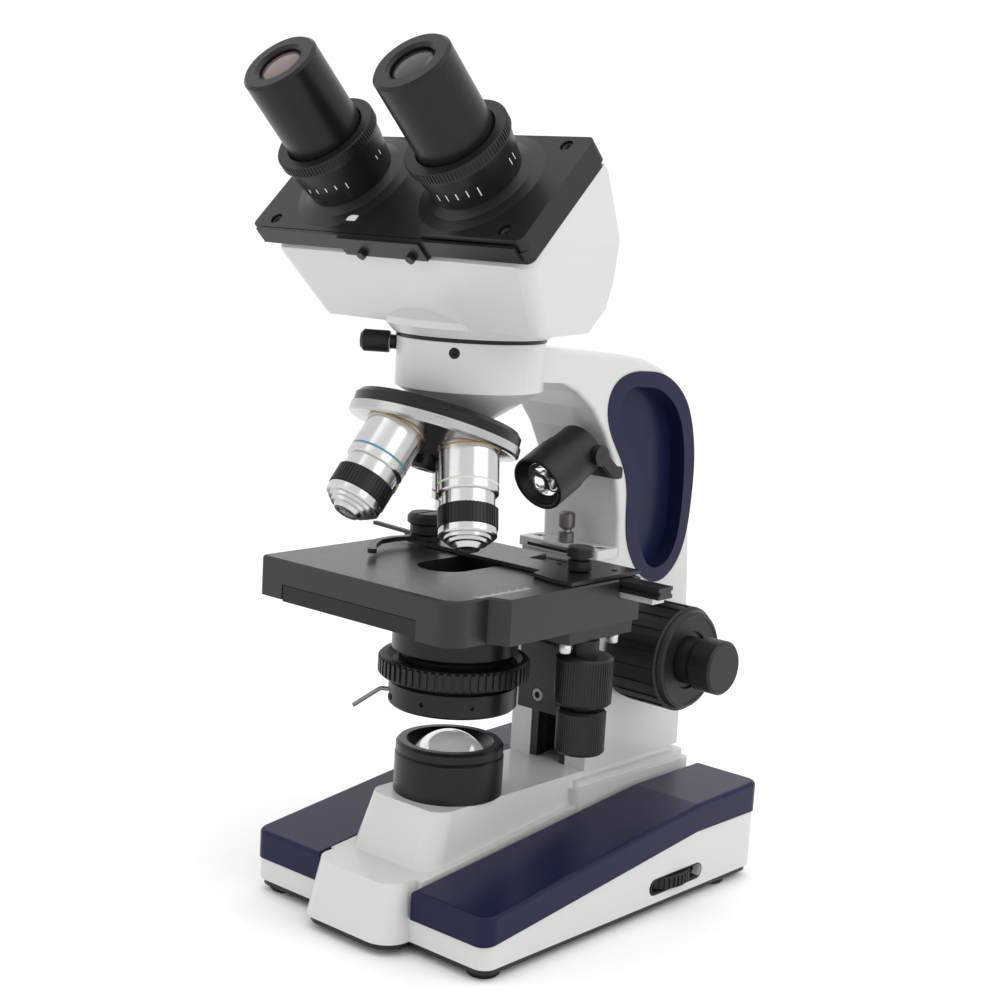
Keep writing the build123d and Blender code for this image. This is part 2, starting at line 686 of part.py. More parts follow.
with BuildPart() as focus_way:
    for sign in (-1, 1):
        with BuildSketch(level(HUMP_TOP_Z)):
            Polygon(
                (sign * CHANNEL_HALF_W, 67.2), (sign * (SLIDE_NECK_HALF + GAP), 67.2),
                (sign * (SLIDE_NECK_HALF + GAP), 71.5), (sign * (SLIDE_HALF_W + GAP), 76.0),
                (sign * (SLIDE_HALF_W + GAP), CHANNEL_BACK), (sign * CHANNEL_HALF_W, CHANNEL_BACK),
                align=None,
            )
        extrude(amount=RAIL_TOP - 6 - HUMP_TOP_Z)
save(focus_way.part, "focus_way")

with BuildPart() as stop_plate:
    with BuildSketch(level(RAIL_TOP)):
        with Locations((0, (STOP_PLATE_FRONT + 79.8) / 2)):
            RectangleRounded(2 * STOP_PLATE_HALF_W, 79.8 - STOP_PLATE_FRONT, 1.2)
    extrude(amount=STOP_PLATE_TOP - RAIL_TOP)
    with Locations(level(STOP_PLATE_TOP)):
        with Locations((-PLATE_SCREW_X, PLATE_SCREW_Y), (PLATE_SCREW_X, PLATE_SCREW_Y)):
            CounterSinkHole(1.6, 3.2, depth=STOP_PLATE_TOP - RAIL_TOP)
        with Locations((0, STOP_SCREW_Y)):
            Hole(STOP_STUD_R + RUN, depth=STOP_PLATE_TOP - RAIL_TOP)
save(stop_plate.part, "stop_plate")

with BuildPart() as stop_plate_screws:
    for x in (-PLATE_SCREW_X, PLATE_SCREW_X):
        top = STOP_PLATE_TOP - 0.3
        head = Plane(origin=(x, AXIS_Y + PLATE_SCREW_Y, RAIL_TOP + 0.1))
        turned(head, [(0, 0), (1.5, 0), (1.5, 2.2), (2.8, top - RAIL_TOP - 0.1), (0, top - RAIL_TOP - 0.1)])
        with BuildSketch(Plane(origin=(x, AXIS_Y + PLATE_SCREW_Y, top))):
            RegularPolygon(1.2, 6)
        extrude(amount=-1.2, mode=Mode.SUBTRACT)
save(stop_plate_screws.part, "stop_plate_screws")

with BuildPart() as stop_screw:
    stud = Plane(origin=(0, AXIS_Y + STOP_SCREW_Y, STOP_PLATE_TOP - 9))
    neck = STOP_HEAD_Z - STOP_PLATE_TOP + 9
    tip = STOP_HEAD_TOP - STOP_PLATE_TOP + 9
    turned(stud, [
        (0, 0), (STOP_STUD_R, 0), (STOP_STUD_R, 9 + GAP), (STOP_NUT_R, 9 + GAP), (STOP_NUT_R, 9 + 4.4),
        (2.6, 9 + 4.8), (2.2, neck - 0.6), (STOP_HEAD_R - 0.5, neck), (STOP_HEAD_R, neck + 0.6),
        (STOP_HEAD_R, tip - 0.8), (STOP_HEAD_R - 0.8, tip), (0, tip),
    ])
    flutes(stud.offset(neck + 0.6), STOP_HEAD_R, 24, 0.5, STOP_HEAD_TOP - STOP_HEAD_Z)
save(stop_screw.part, "stop_screw")


# ================================================================ focusing slide
with BuildPart() as focus_slide:
    with BuildSketch(level(SLIDE_LOW)):
        Polygon(
            (-SLIDE_NECK_HALF, 66.2), (SLIDE_NECK_HALF, 66.2), (SLIDE_NECK_HALF, 71.6),
            (SLIDE_HALF_W, 76.2), (SLIDE_HALF_W, SLIDE_BACK), (-SLIDE_HALF_W, SLIDE_BACK),
            (-SLIDE_HALF_W, 76.2), (-SLIDE_NECK_HALF, 71.6), align=None,
        )
    extrude(amount=SLIDE_TOP - SLIDE_LOW)
save(focus_slide.part, "focus_slide")

with BuildPart() as stage_bracket:
    with BuildSketch(side(-BRACKET_HALF_W)):
        polygon([
            (BRACKET_FRONT, SLIDE_LOW), (66.2, SLIDE_LOW), (66.2, CARRIAGE_LOW),
            (24.0, CARRIAGE_LOW), (24.0, 117.5), (BRACKET_FRONT - 8, 117.5), (BRACKET_FRONT, 110.0),
        ])
    extrude(amount=2 * BRACKET_HALF_W)
    disc(level(CARRIER_LOW - 1), CARRIER_R, 30, mode=Mode.SUBTRACT)
    with BuildSketch(face_on(BRACKET_FRONT - 0.01)):
        with Locations((0, BRACKET_SCREW_Z)):
            Circle(3.4)
    extrude(amount=-3.02, mode=Mode.SUBTRACT)
save(stage_bracket.part, "stage_bracket")

with BuildPart() as bracket_screw:
    head = Plane(origin=(0, AXIS_Y + BRACKET_FRONT + 3, BRACKET_SCREW_Z), x_dir=(1, 0, 0), z_dir=(0, -1, 0))
    turned(head, [(0, 0), (3.3, 0), (3.3, 2.6), (2.9, 3.0), (0, 3.0)])
    with BuildSketch(head.offset(3.0)):
        RegularPolygon(1.7, 6)
    extrude(amount=-2.0, mode=Mode.SUBTRACT)
save(bracket_screw.part, "bracket_screw")

with BuildPart() as condenser_carrier:
    with BuildSketch(level(CARRIER_LOW)):
        Circle(CARRIER_R)
        Circle(CARRIER_BORE_R, mode=Mode.SUBTRACT)
    extrude(amount=CARRIAGE_LOW - CARRIER_LOW)
save(condenser_carrier.part, "condenser_carrier")

with BuildPart() as stage_carriage:
    with BuildSketch(level(CARRIAGE_LOW)):
        with Locations(((CARRIAGE_LEFT + CARRIAGE_RIGHT) / 2, (STAGE_FRONT + 0.3 + STAGE_BACK) / 2)):
            Rectangle(CARRIAGE_RIGHT - CARRIAGE_LEFT, STAGE_BACK - STAGE_FRONT - 0.3)
        Circle(CARRIAGE_HOLE_R, mode=Mode.SUBTRACT)
    extrude(amount=CARRIAGE_TOP - CARRIAGE_LOW)
save(stage_carriage.part, "stage_carriage")

# ================================================================ focus knobs
with BuildPart() as coarse_knobs:
    disc(knob_plane(-COARSE_OUT + 2), COARSE_TUBE_R, 2 * COARSE_OUT - 4)
    for sign in (-1, 1):
        face = knob_plane(sign * COARSE_IN)
        face = face if sign > 0 else Plane(origin=face.origin, x_dir=face.x_dir, z_dir=-face.z_dir)
        long = COARSE_OUT - COARSE_IN
        turned(face, [
            (0, 0), (COARSE_R - 3.0, 0), (COARSE_R - 0.6, 1.5), (COARSE_R, 6.0), (COARSE_R, long - 3.6),
            (COARSE_R - 1.2, long - 3.0), (COARSE_R - 1.2, long - 2.2), (COARSE_R - 2.0, long - 0.6),
            (COARSE_R - 3.4, long), (COARSE_R - 4.4, long - 0.6), (FINE_R + 1.0, long - 0.6),
            (FINE_R + 0.6, long - 2.0), (0, long - 2.0),
        ])
        flutes(face, COARSE_R, COARSE_RIBS, 1.2, long - 3.7)
    disc(knob_plane(-COARSE_OUT - 1), FINE_SHAFT_R + RUN, 2 * COARSE_OUT + 2, mode=Mode.SUBTRACT)
save(coarse_knobs.part, "coarse_knobs")

with BuildPart() as fine_knobs:
    disc(knob_plane(-FINE_IN - 1), FINE_SHAFT_R, 2 * FINE_IN + 2)
    for sign in (-1, 1):
        face = knob_plane(sign * (COARSE_OUT - 2.0 + GAP))
        face = face if sign > 0 else Plane(origin=face.origin, x_dir=face.x_dir, z_dir=-face.z_dir)
        long = FINE_OUT - COARSE_OUT + 2.0 - GAP
        turned(face, [
            (0, 0), (FINE_NECK_R, 0), (FINE_NECK_R - 0.6, long - 14.0), (FINE_NECK_R, long - 12.0),
            (FINE_R - 0.6, long - 11.6), (FINE_R, long - 11.0), (FINE_R, long - 1.0),
            (FINE_R - 1.0, long), (0, long),
        ])
        flutes(face, FINE_NECK_R + 0.1, 40, 0.6, long - 14.5)
save(fine_knobs.part, "fine_knobs")

# ================================================================ stage
with BuildPart() as stage_plate:
    with BuildSketch(level(STAGE_FLANK_LOW)):
        Polygon(
            (STAGE_LEFT, STAGE_FRONT), (STAGE_NEAR_RIGHT, STAGE_FRONT), (STAGE_NEAR_RIGHT, STAGE_STEP_Y),
            (STAGE_RIGHT, STAGE_STEP_Y + 3.5), (STAGE_RIGHT, STAGE_BACK), (STAGE_LEFT, STAGE_BACK),
            align=None,
        )
    extrude(amount=STAGE_TOP - STAGE_FLANK_LOW)
    front_edges = stage_plate.edges().filter_by(Axis.Z).sort_by(Axis.Y)[:2].sort_by(Axis.X)
    fillet(front_edges[-1], STAGE_CORNER_R)
    fillet(front_edges[0], 2.0)
    chamfer(stage_plate.faces().sort_by(Axis.Z)[-1].edges(), 0.8)
    # underside: raised over the carriage and shallower on the left
    left_w = CARRIAGE_LEFT - GAP - STAGE_LEFT
    with BuildSketch(level(STAGE_FLANK_LOW - 1)):
        with Locations((STAGE_LEFT + left_w / 2 - 1, (STAGE_FRONT + STAGE_BACK) / 2)):
            Rectangle(left_w + 2, STAGE_BACK - STAGE_FRONT + 2)
    extrude(amount=STAGE_LOW - STAGE_FLANK_LOW + 1, mode=Mode.SUBTRACT)
    bay_w = CARRIAGE_RIGHT - CARRIAGE_LEFT + 2 * GAP
    with BuildSketch(level(STAGE_FLANK_LOW - 1)):
        with Locations(((CARRIAGE_LEFT + CARRIAGE_RIGHT) / 2, (STAGE_FRONT + STAGE_BACK) / 2)):
            Rectangle(bay_w, STAGE_BACK - STAGE_FRONT + 2)
    extrude(amount=CARRIAGE_TOP + GAP - STAGE_FLANK_LOW + 1, mode=Mode.SUBTRACT)
    # light opening
    with BuildSketch(level(CARRIAGE_TOP)):
        with Locations((0, (SLOT_FRONT + SLOT_BACK) / 2)):
            RectangleRounded(2 * SLOT_HALF_W, SLOT_BACK - SLOT_FRONT, SLOT_HALF_W - 0.5)
    extrude(amount=STAGE_TOP - CARRIAGE_TOP + 1, mode=Mode.SUBTRACT)
    # track of the slide holder's bar
    with BuildSketch(level(RACK_LOW - GAP)):
        with Locations((0, (BAR_FRONT + BAR_BACK) / 2)):
            Rectangle(2 * STAGE_RIGHT + 6, BAR_BACK - BAR_FRONT + 2 * GAP)
    extrude(amount=STAGE_TOP - RACK_LOW + 2, mode=Mode.SUBTRACT)
    # bore of the drive shafts
    with BuildSketch(level(STAGE_FLANK_LOW - 1)):
        with Locations((DRIVE_X, DRIVE_Y)):
            Circle(DRIVE_SHAFT_R + RUN)
    extrude(amount=8, mode=Mode.SUBTRACT)
save(stage_plate.part, "stage_plate")

with BuildPart() as drive_block:
    with BuildSketch(level(BLOCK_LOW)):
        with Locations(((BLOCK_LEFT + BLOCK_RIGHT) / 2, (BLOCK_FRONT + BLOCK_BACK) / 2)):
            RectangleRounded(BLOCK_RIGHT - BLOCK_LEFT, BLOCK_BACK - BLOCK_FRONT, 1.2)
        with Locations((DRIVE_X, DRIVE_Y)):
            Circle(DRIVE_SHAFT_R + RUN, mode=Mode.SUBTRACT)
    extrude(amount=STAGE_FLANK_LOW - BLOCK_LOW)
    for y in (BLOCK_FRONT + 5, BLOCK_BACK - 5):
        with BuildSketch(level(BLOCK_LOW - 2.6)):
            with Locations((BLOCK_RIGHT - 6, y)):
                Circle(2.6)
        extrude(amount=3.0)
save(drive_block.part, "drive_block")


def drive_axis(z):
    """Horizontal plane on the hanging stage knobs' axis."""
    return Plane(origin=(DRIVE_X, AXIS_Y + DRIVE_Y, z))


with BuildPart() as y_knob:
    tall = Y_KNOB_TOP - Y_KNOB_LOW
    turned(drive_axis(Y_KNOB_LOW), [
        (0, 0), (Y_KNOB_R - 1.0, 0), (Y_KNOB_R, 1.0), (Y_KNOB_R, tall - 1.0), (Y_KNOB_R - 1.0, tall),
        (DRIVE_NECK_R, tall), (DRIVE_NECK_R, BLOCK_LOW - GAP - Y_KNOB_LOW), (0, BLOCK_LOW - GAP - Y_KNOB_LOW),
    ])
    flutes(drive_axis(Y_KNOB_LOW + 1.0), Y_KNOB_R, DRIVE_RIBS, 0.5, tall - 2.0)
    disc(drive_axis(Y_KNOB_LOW - 1), DRIVE_SHAFT_R + RUN, 40, mode=Mode.SUBTRACT)
save(y_knob.part, "y_knob")

with BuildPart() as x_knob:
    tall = X_KNOB_TOP - X_KNOB_LOW
    turned(drive_axis(X_KNOB_LOW), [
        (0, 0), (X_KNOB_R - 1.0, 0), (X_KNOB_R, 1.0), (X_KNOB_R, tall - 1.0), (X_KNOB_R - 1.0, tall),
        (DRIVE_NECK_R, tall), (DRIVE_NECK_R, Y_KNOB_LOW - GAP - X_KNOB_LOW),
        (DRIVE_SHAFT_R, Y_KNOB_LOW - GAP - X_KNOB_LOW), (DRIVE_SHAFT_R, STAGE_FLANK_LOW + 6 - X_KNOB_LOW),
        (0, STAGE_FLANK_LOW + 6 - X_KNOB_LOW),
    ])
    flutes(drive_axis(X_KNOB_LOW + 1.0), X_KNOB_R, DRIVE_RIBS, 0.5, tall - 2.0)
save(x_knob.part, "x_knob")

# ================================================================ slide holder
with BuildPart() as slide_holder:
    with BuildSketch(level(BAR_LOW)):
        with Locations(((BAR_LEFT + BAR_RIGHT) / 2, (BAR_FRONT + BAR_BACK) / 2)):
            Rectangle(BAR_RIGHT - BAR_LEFT, BAR_BACK - BAR_FRONT)
    extrude(amount=BAR_TOP - BAR_LOW)
    for y in (BAR_FRONT, BAR_BACK):
        with BuildSketch(side(BAR_LEFT - 1)):
            with Locations((y, (BAR_TOP + BAR_LOW) / 2)):
                Rectangle(2.2, 1.6)
        extrude(amount=BAR_RIGHT - BAR_LEFT + 2, mode=Mode.SUBTRACT)
    with BuildSketch(level(BAR_TOP - 0.2)):
        with Locations((-16, (BAR_FRONT + BAR_BACK) / 2)):
            Rectangle(56, BAR_BACK - BAR_FRONT - 2)
        with Locations((44, (BAR_FRONT + BAR_BACK) / 2)):
            Rectangle(16, BAR_BACK - BAR_FRONT - 2)
    extrude(amount=HOLDER_TOP - BAR_TOP + 0.2)
    with BuildSketch(level(HOLDER_LOW)):
        Polygon(
            (HOLDER_LEFT, 15.0), (-14.7, 15.0), (-13.7, HOLDER_FRONT), (34.0, HOLDER_FRONT),
            (36.0, 6.0), (48.0, 3.5), (HOLDER_RIGHT, 3.5), (HOLDER_RIGHT, 50.0), (34.0, 50.0),
            (34.0, 32.0), (14.0, 28.5), (12.0, 42.0), (HOLDER_LEFT, 42.0), align=None,
        )
        with Locations((-16, 37)):
            Circle(1.6, mode=Mode.SUBTRACT)
    extrude(amount=HOLDER_TOP - HOLDER_LOW)
    with BuildSketch(level(HOLDER_TOP - 0.1)):
        with Locations((POST_X, POST_Y), (CLAMP_X, CLAMP_Y)):
            Circle(2.0)
    extrude(amount=6.0)
    with BuildSketch(level(HOLDER_TOP - 0.1)):
        with Locations((30, 30), (52, 40)):
            Circle(1.3)
    extrude(amount=0.5)
save(slide_holder.part, "slide_holder")

with BuildPart() as holder_rack:
    with BuildSketch(level(RACK_LOW)):
        with Locations(((BAR_LEFT + BAR_RIGHT) / 2 - 1.5, (BAR_FRONT + BAR_BACK) / 2)):
            Rectangle(BAR_RIGHT - BAR_LEFT - 4, BAR_BACK - BAR_FRONT - 1.6)
    extrude(amount=BAR_LOW - RACK_LOW)
save(holder_rack.part, "holder_rack")

FINGER_PATH = [(POST_X - 1, POST_Y - 6), (-43.5, 4.0), (-42.5, -6.0), (-37.0, -15.0), FINGER_TIP]
FINGER_LOW = HOLDER_TOP + GAP
FINGER_TOP = FINGER_LOW + 2.0

with BuildPart() as spring_finger:
    with BuildSketch(level(FINGER_LOW)):
        Polygon(*ribbon(FINGER_PATH, 1.6), align=None)
        with Locations((POST_X, POST_Y)):
            Circle(POST_R)
        with Locations(FINGER_TIP):
            Circle(2.0)
        with Locations((POST_X, POST_Y)):
            Circle(2.0 + RUN, mode=Mode.SUBTRACT)
    extrude(amount=FINGER_TOP - FINGER_LOW)
    with BuildSketch(level(FINGER_LOW + 0.2)):
        Polygon(*ribbon([(POST_X - POST_R + 1, POST_Y + 0.6), LEVER_END], 1.1), align=None)
    extrude(amount=1.6)
save(spring_finger.part, "spring_finger")

with BuildPart() as finger_cap:
    base = FINGER_TOP + GAP
    post = Plane(origin=(POST_X, AXIS_Y + POST_Y, base))
    tall = POST_TOP - base
    turned(post, [
        (0, 0), (POST_R - 0.4, 0), (POST_R, 0.6), (POST_R, tall * 0.45), (POST_R + 1.4, tall * 0.55),
        (POST_R + 1.4, tall - 1.6), (POST_R, tall), (0, tall),
    ])
    with BuildSketch(post.offset(tall)):
        Rectangle(1.4, 2 * POST_R)
    extrude(amount=-1.2, mode=Mode.SUBTRACT)
    disc(post.offset(-0.5), 2.0, HOLDER_TOP + 6.0 - base + 0.4, mode=Mode.SUBTRACT)
save(finger_cap.part, "finger_cap")

with BuildPart() as clamp_knob:
    base = HOLDER_TOP + GAP
    post = Plane(origin=(CLAMP_X, AXIS_Y + CLAMP_Y, base))
    turned(post, [
        (0, 0), (CLAMP_R - 0.6, 0), (CLAMP_R, 0.6), (CLAMP_R, 4.4), (CLAMP_R - 1.4, 5.0),
        (CLAMP_R - 1.4, 5.8), (CLAMP_R + 0.6, 6.2), (CLAMP_R + 0.6, 9.6), (CLAMP_R, 10.2), (0, 10.2),
    ])
    disc(post.offset(-0.5), 2.0 + RUN, 6.9, mode=Mode.SUBTRACT)
    with BuildSketch(post.offset(6.2)):
        Polygon(*ribbon([(-CLAMP_R + 1, 1.0), (-29.0, 2.0)], 2.2), align=None)
    extrude(amount=1.4)
save(clamp_knob.part, "clamp_knob")

# ================================================================ condenser
with BuildPart() as condenser_housing:
    turned(level(COND_LOW), [
        (COND_R - 4.0, 0), (COND_R - 1.0, 0), (COND_R, 1.0), (COND_R, COND_TOP - COND_LOW),
        (COND_NECK_R, COND_TOP - COND_LOW), (COND_NECK_R, COND_RING_TOP + 1 - COND_LOW),
        (COND_TUBE_R, COND_RING_TOP + 1 - COND_LOW), (COND_TUBE_R, 133.0 - COND_LOW),
        (COND_LENS_R + 2.4, 137.0 - COND_LOW), (COND_LENS_R + 1.2, COND_LENS_TOP - 1.5 - COND_LOW),
        (COND_LENS_R, COND_LENS_TOP - 1.5 - COND_LOW), (COND_LENS_R, 100.0 - COND_LOW),
        (COND_R - 4.0, 97.6 - COND_LOW),
    ])
    for turn in (150, 215, 285, 330):
        pad = Plane(
            origin=(0, AXIS_Y, 97.0), x_dir=(0, 0, 1),
            z_dir=(cos(radians(turn)), sin(radians(turn)), 0),
        )
        disc(pad.offset(COND_R - 1.2), 1.0, 2.0, mode=Mode.SUBTRACT)
    # slot in which the iris lever swings
    with BuildSketch(level(IRIS_Z - 1.4)):
        Polygon(
            *[(COND_R * 2 * cos(radians(a)), COND_R * 2 * sin(radians(a))) for a in (185, 205, 225, 245)],
            (0, 0), align=None,
        )
        Circle(COND_R - 3.0, mode=Mode.SUBTRACT)
    extrude(amount=2.8, mode=Mode.SUBTRACT)
save(condenser_housing.part, "condenser_housing")

with BuildPart() as condenser_lens:
    turned(level(COND_LENS_TOP - 6), [
        (0, 0), (COND_LENS_R - 0.05, 0), (COND_LENS_R - 0.05, 4.5), (COND_LENS_R - 2, 5.2),
        (COND_LENS_R - 5, 5.8), (0, 6),
    ])
save(condenser_lens.part, "condenser_lens")

with BuildPart() as condenser_ring:
    tall = COND_RING_TOP - COND_RING_LOW
    turned(level(COND_RING_LOW), [
        (COND_NECK_R + RUN, 0), (COND_RING_R - 1.0, 0), (COND_RING_R, 1.0), (COND_RING_R, tall - 1.2),
        (COND_RING_R - 1.2, tall), (COND_RING_R - 3.5, tall), (COND_NECK_R + 3.0, tall - 2.2),
        (COND_NECK_R + RUN, tall - 2.2),
    ])
    flutes(level(COND_RING_LOW), COND_RING_R, COND_RING_RIBS, 1.5, tall)
save(condenser_ring.part, "condenser_ring")

LEVER_TURN = radians(214)
LEVER_DIR = (cos(LEVER_TURN), sin(LEVER_TURN))

with BuildPart() as iris_lever:
    root = Vector(LEVER_DIR[0] * 25.2, AXIS_Y + LEVER_DIR[1] * 25.2, IRIS_Z)
    knee = Vector(LEVER_DIR[0] * 31.5, AXIS_Y + LEVER_DIR[1] * 31.5, IRIS_Z)
    tip = Vector(LEVER_DIR[0] * 43.0, AXIS_Y + LEVER_DIR[1] * 43.0, IRIS_Z - 8.6)
    with BuildLine() as wire:
        FilletPolyline(root, knee, tip, radius=3)
    with BuildSketch(Plane(origin=root, z_dir=knee - root)):
        Circle(0.95)
    sweep(path=wire.line)
save(iris_lever.part, "iris_lever")


# ================================================================ upper lamp
with BuildPart() as lamp_bracket:
    with BuildSketch(face_on(BAR_STUD_FRONT)):
        with Locations((LAMP_X, LAMP_BAR_Z)):
            RectangleRounded(2 * (EAR_IN + EAR_T), 5.4, 1.2)
    extrude(amount=-3.0)
    with BuildSketch(face_on(BAR_STUD_FRONT + 3.0)):
        with Locations((LAMP_X, LAMP_BAR_Z)):
            Circle(LAMP_STUD_R)
    extrude(amount=-LAMP_STUD_LEN + 3.0)
    for x0 in (LAMP_X - EAR_IN - EAR_T, LAMP_X + EAR_IN):
        with BuildSketch(side(x0)):
            Polygon(
                *ribbon([(LAMP_PIVOT_Y, LAMP_PIVOT_Z), (BAR_STUD_FRONT - 1.0, LAMP_BAR_Z)], 2.6), align=None,
            )
            with Locations((LAMP_PIVOT_Y, LAMP_PIVOT_Z)):
                Circle(4.6)
            with Locations((BAR_STUD_FRONT + 0.2, LAMP_BAR_Z)):
                Circle(2.6)
        extrude(amount=EAR_T)
    for x0 in (LAMP_X - EAR_IN - EAR_T - 0.5, LAMP_X + EAR_IN - 0.5):
        with BuildSketch(side(x0)):
            with Locations((LAMP_PIVOT_Y, LAMP_PIVOT_Z)):
                Circle(1.6 + RUN)
        extrude(amount=EAR_T + 1, mode=Mode.SUBTRACT)
save(lamp_bracket.part, "lamp_bracket")

with BuildPart() as upper_lamp:
    turned(lamp_plane(), [
        (0, -15.0), (2.6, -15.0), (10.4, LAMP_FRONT_S + 1.0), (11.4, LAMP_FRONT_S), (12.2, LAMP_FRONT_S),
        (LAMP_R, LAMP_FRONT_S + 0.6), (LAMP_R, -12.0), (LAMP_R - 0.5, -11.4), (LAMP_R - 1.1, -2.0),
        (LAMP_R - 1.1, 3.0), (8.4, LAMP_BACK_S), (0, LAMP_BACK_S),
    ])
    with BuildSketch(side(LAMP_X - EAR_IN - EAR_T)):
        with Locations((LAMP_PIVOT_Y, LAMP_PIVOT_Z)):
            Circle(1.6)
    extrude(amount=2 * (EAR_IN + EAR_T))
save(upper_lamp.part, "upper_lamp")

# ================================================================ nosepiece
with BuildPart() as turret_disc:
    turned(turret_plane(), [
        (0, TURRET_TOP_H), (TURRET_R - 2.6, TURRET_TOP_H), (TURRET_R - 0.8, TURRET_TOP_H + 2.0),
        (TURRET_R - 0.8, CLICK_RING_H), (0, CLICK_RING_H),
    ])
    turned(turret_plane(), [
        (0, CONE_TIP_H), (HUB_R, CONE_TIP_H), (HUB_R, HUB_TOP_H - 1.6), (HUB_R - 1.2, HUB_TOP_H),
        (2.6, HUB_TOP_H), (2.6, HUB_TOP_H - 1.2), (0, HUB_TOP_H - 1.2),
    ])
    disc(turret_plane(TURRET_TOP_H - 1.0), PIVOT_R + RUN, 6.4, mode=Mode.SUBTRACT)
save(turret_disc.part, "turret_disc")

with BuildPart() as click_ring:
    turned(turret_plane(), [
        (0, CLICK_RING_H), (TURRET_R, CLICK_RING_H), (TURRET_R, -0.9), (TURRET_R - 0.9, 0),
        (CONE_R, 0), (CONE_TIP_R, CONE_TIP_H), (0, CONE_TIP_H),
    ])
    for turn in (0, 90, 180, 270):
        disc(objective_plane(turn).offset(-2.5), BARREL_R + 0.4, 2.5)
    with BuildSketch(turret_plane(CLICK_RING_H + 0.8)):
        with PolarLocations(TURRET_R, 4, start_angle=45):
            Rectangle(1.6, 4.4)
    extrude(amount=2.4, mode=Mode.SUBTRACT)
save(click_ring.part, "click_ring")

# radius and distance from the seat down each objective
HIGH_POWER = [
    (0, 0), (BARREL_R + 0.2, 0), (BARREL_R + 0.2, 0.8), (BARREL_R, 0.9), (BARREL_R, 13.8),
    (BARREL_R - 0.6, 13.8), (BARREL_R - 0.6, 14.8), (BARREL_R, 14.8), (BARREL_R, 17.6),
    (BARREL_R - 0.5, 18.1), (BARREL_R - 1.5, 18.3), (BARREL_R - 1.5, 24.0), (BARREL_R - 1.3, 32.5),
    (BARREL_R - 0.6, 32.7), (BARREL_R - 0.6, 35.2), (BARREL_R - 1.2, 35.8), (BARREL_R - 2.6, 36.0),
    (BARREL_R - 2.8, 37.2), (BARREL_R - 4.2, 37.4), (BARREL_R - 4.6, 38.6), (BARREL_R - 6.2, 38.8),
]
TEN_POWER = [
    (0, 0), (BARREL_R + 0.2, 0), (BARREL_R + 0.2, 0.8), (BARREL_R, 0.9), (BARREL_R, 14.8),
    (BARREL_R - 0.6, 14.8), (BARREL_R - 0.6, 15.8), (BARREL_R, 15.8), (BARREL_R, 19.4),
    (BARREL_R - 1.5, 20.1), (BARREL_R - 1.5, 26.0), (BARREL_R - 3.0, 27.0), (BARREL_R - 3.4, 31.0),
    (BARREL_R - 6.0, 33.0),
]
FOUR_POWER = [
    (0, 0), (BARREL_R + 0.2, 0), (BARREL_R + 0.2, 0.8), (BARREL_R, 0.9), (BARREL_R, 12.0),
    (BARREL_R - 0.6, 12.0), (BARREL_R - 0.6, 13.0), (BARREL_R, 13.0), (BARREL_R, 16.0),
    (BARREL_R - 1.5, 16.8), (BARREL_R - 1.5, 21.0), (BARREL_R - 3.4, 22.4),
]
# name: (turn, profile, tip radius, length, start of the colour ring)
OBJECTIVES = {
    "objective_4x": (0, FOUR_POWER, 7.4, 26.4, 12.0),
    "objective_10x": (270, TEN_POWER, 5.0, 35.8, 14.8),
    "objective_40x": (180, HIGH_POWER, 5.2, 40.4, 13.8),
    "objective_100x": (90, HIGH_POWER, 4.8, 40.8, 13.8),
}
LENS_POCKET = 1.0
BAND_AT = 24.1
BAND_LONG = 8.3


def build_objective(label, turn, profile, tip_r, length, ring_at):
    """One objective barrel, open at the tip for its front lens, and its colour ring."""
    seat = objective_plane(turn)
    with BuildPart() as barrel:
        turned(seat, profile + [
            (tip_r, length), (tip_r - 1.4, length), (tip_r - 1.4, length - LENS_POCKET),
            (0, length - LENS_POCKET),
        ])
    save(barrel.part, label)
    with BuildPart() as ring:
        with BuildSketch(seat.offset(ring_at)):
            Circle(BARREL_R - 0.1)
            Circle(BARREL_R - 0.6, mode=Mode.SUBTRACT)
        extrude(amount=1.0)
    save(ring.part, label.replace("objective", "colour_ring"))


for name, spec in OBJECTIVES.items():
    build_objective(name, *spec)

with BuildPart() as objective_knurls:
    for turn in (90, 180):
        band = objective_plane(turn).offset(BAND_AT)
        with BuildSketch(band):
            Circle(BARREL_R - 0.2)
            Circle(BARREL_R - 1.29, mode=Mode.SUBTRACT)
        extrude(amount=BAND_LONG)
        flutes(band, BARREL_R - 0.2, 48, 0.5, BAND_LONG)
save(objective_knurls.part, "objective_knurls")

with BuildPart() as objective_lenses:
    for turn, profile, tip_r, length, ring_at in OBJECTIVES.values():
        pocket = objective_plane(turn).offset(length - LENS_POCKET)
        turned(pocket, [(0, 0), (tip_r - 1.4, 0), (tip_r - 1.4, 0.4), (tip_r - 2.4, 0.8), (0, 0.9)])
save(objective_lenses.part, "objective_lenses")

# ================================================================ head
with BuildPart() as head_casting:
    with BuildSketch(side(-HEAD_HALF_W)):
        polygon(HEAD_SIDE)
    extrude(amount=2 * HEAD_HALF_W)
    with BuildSketch(face_on(-80)):
        polygon(HEAD_FRONT)
    extrude(amount=-120, mode=Mode.INTERSECT)
    outer = head_casting.edges().filter_by(lambda e: abs(e.center().X) > 55)
    upright = outer.filter_by(lambda e: abs(e.tangent_at(0.5).X) > 0.1 and abs(e.tangent_at(0.5).Z) > 0.5)
    rounded = upright.filter_by(lambda e: e.center().Z < HEAD_SIDE[0][1])
    rounded = rounded.filter_by(lambda e: e.center().Y < AXIS_Y - 30)
    fillet(rounded, HEAD_CORNER_R)
    turned(level(COLLAR_LOW_Z), [
        (0, 0), (COLLAR_LOW_R, 0), (COLLAR_R, COLLAR_Z - COLLAR_LOW_Z), (COLLAR_R, 6.4),
        (COLLAR_R - 6.0, 15.0), (0, 15.0),
    ])
    disc(level(HEAD_CYL_TOP - 5.0), 23.5, 7.0)
save(head_casting.part, "head_casting")

